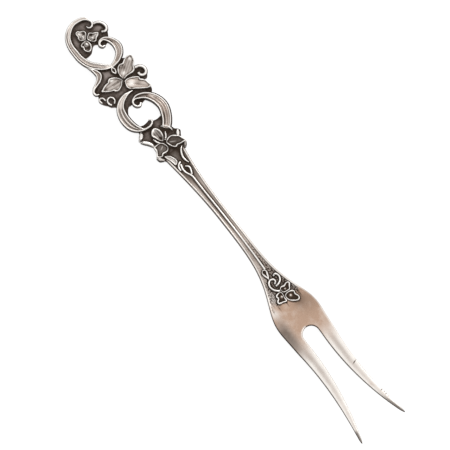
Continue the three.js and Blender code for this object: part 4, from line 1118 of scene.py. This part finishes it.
# Tarnish and painted contact shadow on the stem's face round the foot of its ornament.
FOOT_SIDES = (0.1, 0.6)
FOOT_TARNISH_AND_SHADOW = 0.75
TEAR_ALONG = (STEM_START + 7.4, 1.2)
TEAR_ACROSS = (0.1, 0.6)
TEAR_STAIN = 0.8
MATTED_STAIN = 0.34
MATTED_STAIN_STARTS = (110, 122)
MATTED_LOW_SIDE = (1, 3)
MATTED_LOW_LOSS = 0.18
PEBBLE_GAP_STAIN = 0.58
FLOWER_ALONG = (HEAD_START + 14.5, 6)
FLOWER_ACROSS = (1.0, 5)
FLOWER_STAIN = 0.45
HEAD_STARTS = (MATTED_TO - 5, MATTED_TO)
HEAD_RAGGED = 0.5
HEAD_RAGGED_WAVE = 2.1
LOW_SIDE_FROM = (3.5, 7.5)
LOW_SIDE_STARTS = (MATTED_TO, SHOULDER_AT + 3)
LOW_SIDE_ENDS = (TINES_AT - 5, TINES_AT + 8)
LOW_SIDE_STAIN = 0.68
LOW_SIDE_BLOOM_LOSS = 0.6
SMUDGE = (133.6, 3.6, 2.4)
SMUDGE_HAZE = (135.5, 6.2, 4.5)
HAZE_SHARE = 0.75
SMUDGE_STAIN = 0.36
SMUDGE_BLOOM = 0.5
# Painted highlight: the head is less rosy and paler in one place near its -Y edge.
SHOULDER_HIGHLIGHT_AT = (132.8, -6.6)
SHOULDER_HIGHLIGHT_NARROWING = 1.3
SHOULDER_HIGHLIGHT_REACH = 2.2
SHOULDER_HIGHLIGHT_BLOOM_LOSS = 0.75
HEAD_BLOOM_FADES = (141, 157)
HEAD_BLOOM_LOSS = 0.8
ROSE_SPOT = (174.3, 5.6, 1.1)
ROSE_SPOT_BLOOM = 0.6
RUBBED_SPREAD = 0.36
RUBBED_CLEAN = 0.95
RUBBED_BLOOM_LOSS = 0.8


def face_wear(x, y, from_outer, rim, matted, pebbles):
    """Tarnish and bloom over the face of the blank, by place and by the distance from the outer edge.

    The stem darkens to the throat, save for a worn patch, and beside its reed, and with tarnish and painted
    contact shadow round its ornament. The matting darkens between the pebbles and round the blossom. The
    head is rosy, browner in a smudge by the blossom, paler with a painted highlight in one place and greyer
    on its
    -Y side. The bead along the edge is rubbed clean.
    """
    throat = 1 - ease(x, *THROAT_ENDS)
    stem = rim * (1 - throat) * (1 - ease(x, *STEM_ENDS))
    worn_throat = blob(x, y, *WORN_THROAT)
    mouth = THROAT_MOUTH_STAIN * (1 - ease(x, *THROAT_MOUTH))
    reed_shade = REED_SHADE - REED_SHADE_LOSS * ease(x, *REED_SHADE_FADES)
    beside_reed = reed_shade * (1 - ease(np.abs(y), *REED_SHADE_SIDES)) * stem
    beside_reed = beside_reed * (1 - ease(x, *REED_SHADE_ENDS))
    foot = 1 - ease(clearance(x + 0 * y, y, STEM.lines), *FOOT_SIDES)
    in_tear = bump(x, *TEAR_ALONG) * bump(y, *TEAR_ACROSS)
    round_flower = bump(x, *FLOWER_ALONG) * bump(y, *FLOWER_ACROSS)
    over_pebbles = MATTED_STAIN - MATTED_LOW_LOSS * ease(-y, *MATTED_LOW_SIDE) + FLOWER_STAIN * round_flower
    matting_stain = over_pebbles * ease(x, *MATTED_STAIN_STARTS) + PEBBLE_GAP_STAIN * (1 - pebbles)
    low_side = ease(-y, *LOW_SIDE_FROM) * ease(x, *LOW_SIDE_STARTS) * (1 - ease(x, *LOW_SIDE_ENDS))
    head = ease(x + HEAD_RAGGED * np.sin(HEAD_RAGGED_WAVE * y), *HEAD_STARTS)
    brown = blob(x, y, *SMUDGE) + HAZE_SHARE * blob(x, y, *SMUDGE_HAZE)
    shoulder_highlight = bump(np.hypot(x - SHOULDER_HIGHLIGHT_AT[0], SHOULDER_HIGHLIGHT_NARROWING * (y - SHOULDER_HIGHLIGHT_AT[1])), 0, SHOULDER_HIGHLIGHT_REACH)
    rubbed = bump(from_outer, RIM_PLACE, RUBBED_SPREAD) * rim

    stain_and_shade = (THROAT_STAIN + mouth - WORN_THROAT_LOSS * worn_throat) * throat + beside_reed
    stain_and_shade = stain_and_shade + (STEM_STAIN - STEM_STAIN_LOSS * ease(x, *STEM_STAIN_FADES)) * stem
    stain_and_shade = stain_and_shade + matted * matting_stain
    stain_and_shade = stain_and_shade + head * (SMUDGE_STAIN * brown + LOW_SIDE_STAIN * low_side)
    stain_and_shade = stain_and_shade + FOOT_TARNISH_AND_SHADOW * foot + TEAR_STAIN * in_tear
    stain_and_shade = stain_and_shade * (1 - RUBBED_CLEAN * rubbed)
    rosy = head * (1 - HEAD_BLOOM_LOSS * ease(x, *HEAD_BLOOM_FADES)) * (1 - LOW_SIDE_BLOOM_LOSS * low_side)
    rosy = rosy * (1 + SMUDGE_BLOOM * brown) * (1 - SHOULDER_HIGHLIGHT_BLOOM_LOSS * shoulder_highlight)
    warm = STEM_BLOOM * stem + THROAT_BLOOM * throat * (1 - worn_throat)
    bloom = rosy + warm * (1 - RUBBED_BLOOM_LOSS * rubbed) + ROSE_SPOT_BLOOM * blob(x, y, *ROSE_SPOT)
    return stain_and_shade, bloom


BACK_LIFT_ENDS = (STEM_START, STEM_START + 1)
FULL_ZONE_WIDTH = 2.6
SLOT_ZONE = 0.55
SLOT_COLUMNS = 7
SLOT_CROWDING = 1.5
EDGE_ZONE = 1.25
EDGE_COLUMNS = 18
EDGE_CROWDING = 1.4
CHANNEL_COLUMNS = 50
BACK_COLUMNS = 22
BLANK_WALL_STEPS = 4
RIM_STARTS = (STEM_START - THROAT_TUCK, STEM_START + 1)
RIM_ENDS = (HEAD_START, HEAD_START + 22)
RIM_WIDTH = 0.9
RIM_HEIGHT = 0.35
RIM_POWER = 3
RIM_SHARPENING = 0.6
EDGE_ROUND = 0.45
ROUND_OF_THICKNESS = 0.7
ROUND_OF_WIDTH = 0.4
PEBBLE_HEIGHT = 0.11
NICK_DEPTH = 0.05
SCRATCH_DEPTH = 0.05
SCRATCH_STAIN = 1.2
CROWN = 0.14
CROWN_FULL_AT = TINES_AT + 8
CORE_SIDES = (0.05, 0.7)
CORE_STAIN = 0.3
CORE_FADES = (150, 180)
CORE_STAIN_LOSS = 0.22
TINE_SIDE_BLOOM_LOSS = 0.8
TIP_BEVEL_FROM = {LEFT: 175.0, RIGHT: 184.0}
TIP_BEVEL_TO = 186.0
TIP_BEVEL_WIDTH = 1.2
TIP_BEVEL_DEPTH = 0.3
# Painted shade on the bevel at each point.
TIP_BEVEL_SHADE = 0.65
FILM_STAIN = 0.06
FILM_ENDS = (118, 132)
# Painted highlight: a paler, less rosy line just inside the edges that face +Y, from the head on.
HIGH_EDGE_HIGHLIGHT = (0.25, 0.35)
HIGH_EDGE_HIGHLIGHT_STARTS = (120, 132)
HIGH_EDGE_HIGHLIGHT_BLOOM_LOSS = 0.7
# Painted shade along the edges of the blank that face -Y.
LOW_EDGE_SHADE = 0.85
LOW_EDGE_FROM = 0.08
LOW_EDGE_TO = 0.32
LOW_EDGE_NARROWING = 0.1
# Lighter painted shade along the edges of the blank that face +Y.
HIGH_EDGE_SHADE = 0.25
HIGH_EDGE_SIDES = (0.05, 0.2)
# The blank's walls are tarnished and painted dark as shade.
BLANK_WALL_TARNISH_AND_SHADE = 0.9
BLANK_BACK_STAIN = 0.16
HEEL_BLOOM = 0.2
HEEL_BLOOM_REACH = 14


def half_blank(hand):
    """Half of the blank on one hand: closed sections across, carried along from the throat to the point.

    Each section runs over the face, down the outer wall, back under and up the inner wall. The height of the
    face is the blank's face plus the bead along the edge and the crown of the tine, less the rounded edges,
    the gaps between pebbles, the nicks, the scratch and the bevel at the point. The core of the tine is
    darker; the edges facing -Y and the bevel at the point are painted with shade, the edges facing +Y with
    lighter shade and, from the head on, a painted highlight just inside. The back is lifted a hair where it
    runs in over the plate's.
    """
    x = stations()
    inner, outer = inner_edge(x), outer_edge(x)
    middle = back_height(x) + thickness(x) / 2
    half_thick = thickness(x) / 2 * point_share(x)
    face = middle + half_thick
    back = middle - half_thick + BACK_CLEARANCE * (1 - ease(x, *BACK_LIFT_ENDS))
    width = outer - inner
    zone = np.minimum(1, width / FULL_ZONE_WIDTH)
    near_slot = SLOT_ZONE * np.linspace(0, 1, SLOT_COLUMNS) ** SLOT_CROWDING * zone
    near_edge = EDGE_ZONE * np.linspace(1, 0, EDGE_COLUMNS) ** EDGE_CROWDING * zone
    between = np.linspace(0, 1, CHANNEL_COLUMNS)[None, 1:-1]
    channel = inner + SLOT_ZONE * zone + (width - (SLOT_ZONE + EDGE_ZONE) * zone) * between
    top_y = np.concatenate([inner + near_slot, channel, outer - near_edge], 1)
    low_y = inner + width * (1 - np.cos(np.pi * np.linspace(1, 0, BACK_COLUMNS))) / 2
    rim = ease(x, *RIM_STARTS) * (1 - ease(x, *RIM_ENDS))
    largest = np.minimum(ROUND_OF_THICKNESS * half_thick, ROUND_OF_WIDTH * width)
    radius = np.minimum(EDGE_ROUND * (1 - RIM_SHARPENING * rim), largest)

    def from_slot(y):
        """Distance from the rounded slot, or from the inner side of the tine."""
        from_round = np.hypot(x - SLOT_CENTRE, y) - SLOT_RADIUS
        return np.maximum(np.where(x < SLOT_CENTRE, from_round, y - inner), 0)

    def edge_drop(y):
        """Rounding at the outer edge plus the rounding round the slot."""
        return rounding(outer - y, radius) + rounding(from_slot(y), radius)

    y = top_y * hand
    from_outer = outer - top_y
    bead = 1 - np.clip(2 * np.abs(from_outer - RIM_PLACE) / RIM_WIDTH, 0, 1) ** RIM_POWER
    matted = matting(x, y, from_outer)
    pebbles = pebbling(x + 0 * y, y)
    on_tine = ease(x, SLOT_CENTRE, CROWN_FULL_AT)
    from_core = np.abs(2 * (top_y - inner) / width - 1)
    core = on_tine * (1 - ease(from_core, *CORE_SIDES))
    crown = CROWN * on_tine * zone * (1 - from_core**2)
    nicks = nicked(x, from_outer) * (hand == LEFT)
    scratch = scratched(x, y)
    edges = (from_slot(top_y), from_outer)
    low_edge, high_edge = edges if hand == LEFT else edges[::-1]
    on_bevel = 1 - ease(low_edge, TIP_BEVEL_WIDTH / 4, TIP_BEVEL_WIDTH)
    bevel = ease(x, TIP_BEVEL_FROM[hand], TIP_BEVEL_TO) * on_bevel
    top_z = face + rim * RIM_HEIGHT * bead + crown - edge_drop(top_y)
    top_z = top_z - TIP_BEVEL_DEPTH * bevel * point_share(x)
    top_z = top_z - PEBBLE_HEIGHT * matted * (1 - pebbles) - NICK_DEPTH * nicks - SCRATCH_DEPTH * scratch
    low_z = back + edge_drop(low_y)

    wall = np.linspace(0, 1, BLANK_WALL_STEPS + 1)[None, 1:-1]
    outer_wall_z = top_z[:, -1:] * (1 - wall) + low_z[:, :1] * wall
    inner_wall_z = low_z[:, -1:] * (1 - wall) + top_z[:, :1] * wall
    loop_y = np.concatenate([top_y, outer + 0 * wall, low_y, inner + 0 * wall], 1)
    loop_z = np.concatenate([top_z, outer_wall_z, low_z, inner_wall_z], 1)
    points = np.stack([x + 0 * loop_y, loop_y * hand, loop_z], -1).reshape(-1, 3)

    stain_and_shade, pink = face_wear(x, y, from_outer, rim, matted, pebbles)
    stain_and_shade = stain_and_shade + core * (CORE_STAIN - CORE_STAIN_LOSS * ease(x, *CORE_FADES))
    stain_and_shade = stain_and_shade + FILM_STAIN * (1 - ease(x, *FILM_ENDS))
    stain_and_shade = stain_and_shade + nicks + SCRATCH_STAIN * scratch + TIP_BEVEL_SHADE * bevel
    low_edge_to = LOW_EDGE_TO - LOW_EDGE_NARROWING * rim
    stain_and_shade = stain_and_shade + LOW_EDGE_SHADE * (1 - ease(low_edge, LOW_EDGE_FROM, low_edge_to))
    stain_and_shade = stain_and_shade + HIGH_EDGE_SHADE * (1 - ease(high_edge, *HIGH_EDGE_SIDES))
    high_edge_highlight = bump(high_edge, *HIGH_EDGE_HIGHLIGHT) * ease(x, *HIGH_EDGE_HIGHLIGHT_STARTS)
    pink = pink * (1 - TINE_SIDE_BLOOM_LOSS * (on_tine - core)) * (1 - HIGH_EDGE_HIGHLIGHT_BLOOM_LOSS * high_edge_highlight)
    wall_tarnish_and_shade = 0 * outer_wall_z + BLANK_WALL_TARNISH_AND_SHADE
    tarnish_and_shade = np.concatenate([stain_and_shade, wall_tarnish_and_shade, 0 * low_z + BLANK_BACK_STAIN, wall_tarnish_and_shade], 1)
    under_bloom = BACK_BLOOM + HEEL_BLOOM * bump(x, SHOULDER_AT, HEEL_BLOOM_REACH)
    bloom = np.concatenate([pink, under_bloom + 0 * loop_y[:, top_y.shape[1]:]], 1)
    sides = quads(*loop_y.shape, True)
    on_middle = (np.abs(points[:, 1]) < MERGE_DISTANCE)[sides].all(1)
    return (points, tarnish_and_shade.ravel(), bloom.ravel()), (sides[~on_middle], end_faces(*loop_y.shape))


BRIGHT_WORN = (0.94, 0.895, 0.845)
BLANK_NODES = ["stem", "head", "tine_left", "tine_right"]
worn_silver = silver("worn_silver", BRIGHT_WORN, break_up=0.3, wear=1.0)
(left_values, left_faces), (right_values, right_faces) = half_blank(LEFT), half_blank(RIGHT)
points, tarnish_and_shade, bloom = [np.concatenate(pair) for pair in zip(left_values, right_values)]
faces = [np.concatenate([left, right + len(left_values[0])]) for left, right in zip(left_faces, right_faces)]
fields = {"tarnish_and_shade": tarnish_and_shade, "bloom": bloom}
silver_piece("fork_blank", points, faces, fields, worn_silver, BLANK_NODES)

# Stage: a plain white floor under the fork, a soft surround that is white overhead and on the +Y side and
# darker low on the -Y side, two soft lamps and a camera almost overhead, a little to the near side.
# The floor shows white to the camera and to the metal, and keeps the fork's shadow.
FLOOR_SIZE = 6.0
FLOOR_DROP = 0.02 * MM
FLOOR_GREY = 0.25
FLOOR_GLOW = 0.86
BRIGHT_SIDE = Vector((-0.15, 0.45, 0.88)).normalized()
DARK_FACING = -0.1
BRIGHT_FACING = 0.7
DARK_LEVEL = 0.12
LAMPS = {
    "key_lamp": {"place": (-0.35, 0.5, 0.6), "size": 0.4, "power": 1.2},
    "fill_lamp": {"place": (0.5, 0.35, 0.5), "size": 0.3, "power": 0.5},
}
CAMERA_DISTANCE = 2.0
CAMERA_TILT = np.radians(11)
FORK_TURN = np.radians(53.39)
FRAME_SPAN = 164.8 * MM
AIM = Vector((-0.05, -1.2, 2)) * MM
SENSOR = 36
NEAREST_SEEN = 0.01


def floor_material():
    """White floor: a grey face that takes the shadow, and a glow that camera, glossy and clear rays see."""
    material = bpy.data.materials.new("pale_floor")
    material.use_nodes = True
    tree = material.node_tree
    tree.nodes.clear()
    path = node(tree, "ShaderNodeLightPath", {}).outputs
    reflected = math(tree, "MAXIMUM", path["Is Glossy Ray"], path["Is Transmission Ray"])
    seen = math(tree, "MAXIMUM", path["Is Camera Ray"], reflected)
    face = node(tree, "ShaderNodeBsdfDiffuse", {"Color": (FLOOR_GREY, FLOOR_GREY, FLOOR_GREY, 1)})
    glow = node(tree, "ShaderNodeEmission", {"Strength": math(tree, "MULTIPLY", seen, FLOOR_GLOW)})
    both = node(tree, "ShaderNodeAddShader", {"Shader": face.outputs[0], "Shader_001": glow.outputs[0]})
    node(tree, "ShaderNodeOutputMaterial", {"Surface": both.outputs[0]})
    return material


floor_mesh = bpy.data.meshes.new("floor")
corners = [(x, y, -FLOOR_DROP) for x, y in FLOOR_SIZE / 2 * np.array([[-1, -1], [1, -1], [1, 1], [-1, 1]])]
floor_mesh.from_pydata(corners, [], [(0, 1, 2, 3)])
floor_mesh.materials.append(floor_material())
floor = bpy.data.objects.new("floor", floor_mesh)
bpy.context.scene.collection.objects.link(floor)

world = bpy.data.worlds.new("soft_surround")
world.use_nodes = True
bpy.context.scene.world = world
tree = world.node_tree
looking = node(tree, "ShaderNodeTexCoord", {}).outputs["Generated"]
directions = {"Vector": looking, "Vector_001": BRIGHT_SIDE}
facing = node(tree, "ShaderNodeVectorMath", directions, operation="DOT_PRODUCT")
spread = {
    "Value": facing.outputs["Value"],
    "From Min": DARK_FACING,
    "From Max": BRIGHT_FACING,
    "To Min": DARK_LEVEL,
    "To Max": 1,
}
level = node(tree, "ShaderNodeMapRange", spread, interpolation_type="SMOOTHSTEP")
surround = tree.nodes["Background"]
surround.inputs["Color"].default_value = (1, 1, 1, 1)
tree.links.new(level.outputs[0], surround.inputs["Strength"])


def soft_lamp(name, place, size, power):
    """Square soft lamp at a place, turned to the middle of the fork."""
    lamp = bpy.data.lights.new(name, "AREA")
    lamp.size = size
    lamp.energy = power
    holder = bpy.data.objects.new(name, lamp)
    turned = (-Vector(place)).to_track_quat("-Z", "Y").to_matrix().to_4x4()
    holder.matrix_world = Matrix.Translation(place) @ turned
    bpy.context.scene.collection.objects.link(holder)


for name, choices in LAMPS.items():
    soft_lamp(name, **choices)

image_right = Vector((np.cos(FORK_TURN), np.sin(FORK_TURN), 0))
image_up = Vector((-np.sin(FORK_TURN), np.cos(FORK_TURN), 0))
away = Vector((0, 0, 1)) * np.cos(CAMERA_TILT) - image_up * np.sin(CAMERA_TILT)
up = image_up * np.cos(CAMERA_TILT) + Vector((0, 0, 1)) * np.sin(CAMERA_TILT)
camera_data = bpy.data.cameras.new("camera")
camera_data.sensor_width = SENSOR
camera_data.lens = SENSOR * CAMERA_DISTANCE / FRAME_SPAN
camera_data.clip_start = NEAREST_SEEN
camera = bpy.data.objects.new("camera", camera_data)
turned = Matrix((image_right, up, away)).transposed().to_4x4()
camera.matrix_world = Matrix.Translation(AIM + away * CAMERA_DISTANCE) @ turned
bpy.context.scene.collection.objects.link(camera)
bpy.context.scene.camera = camera
bpy.context.scene.view_settings.view_transform = "Standard"
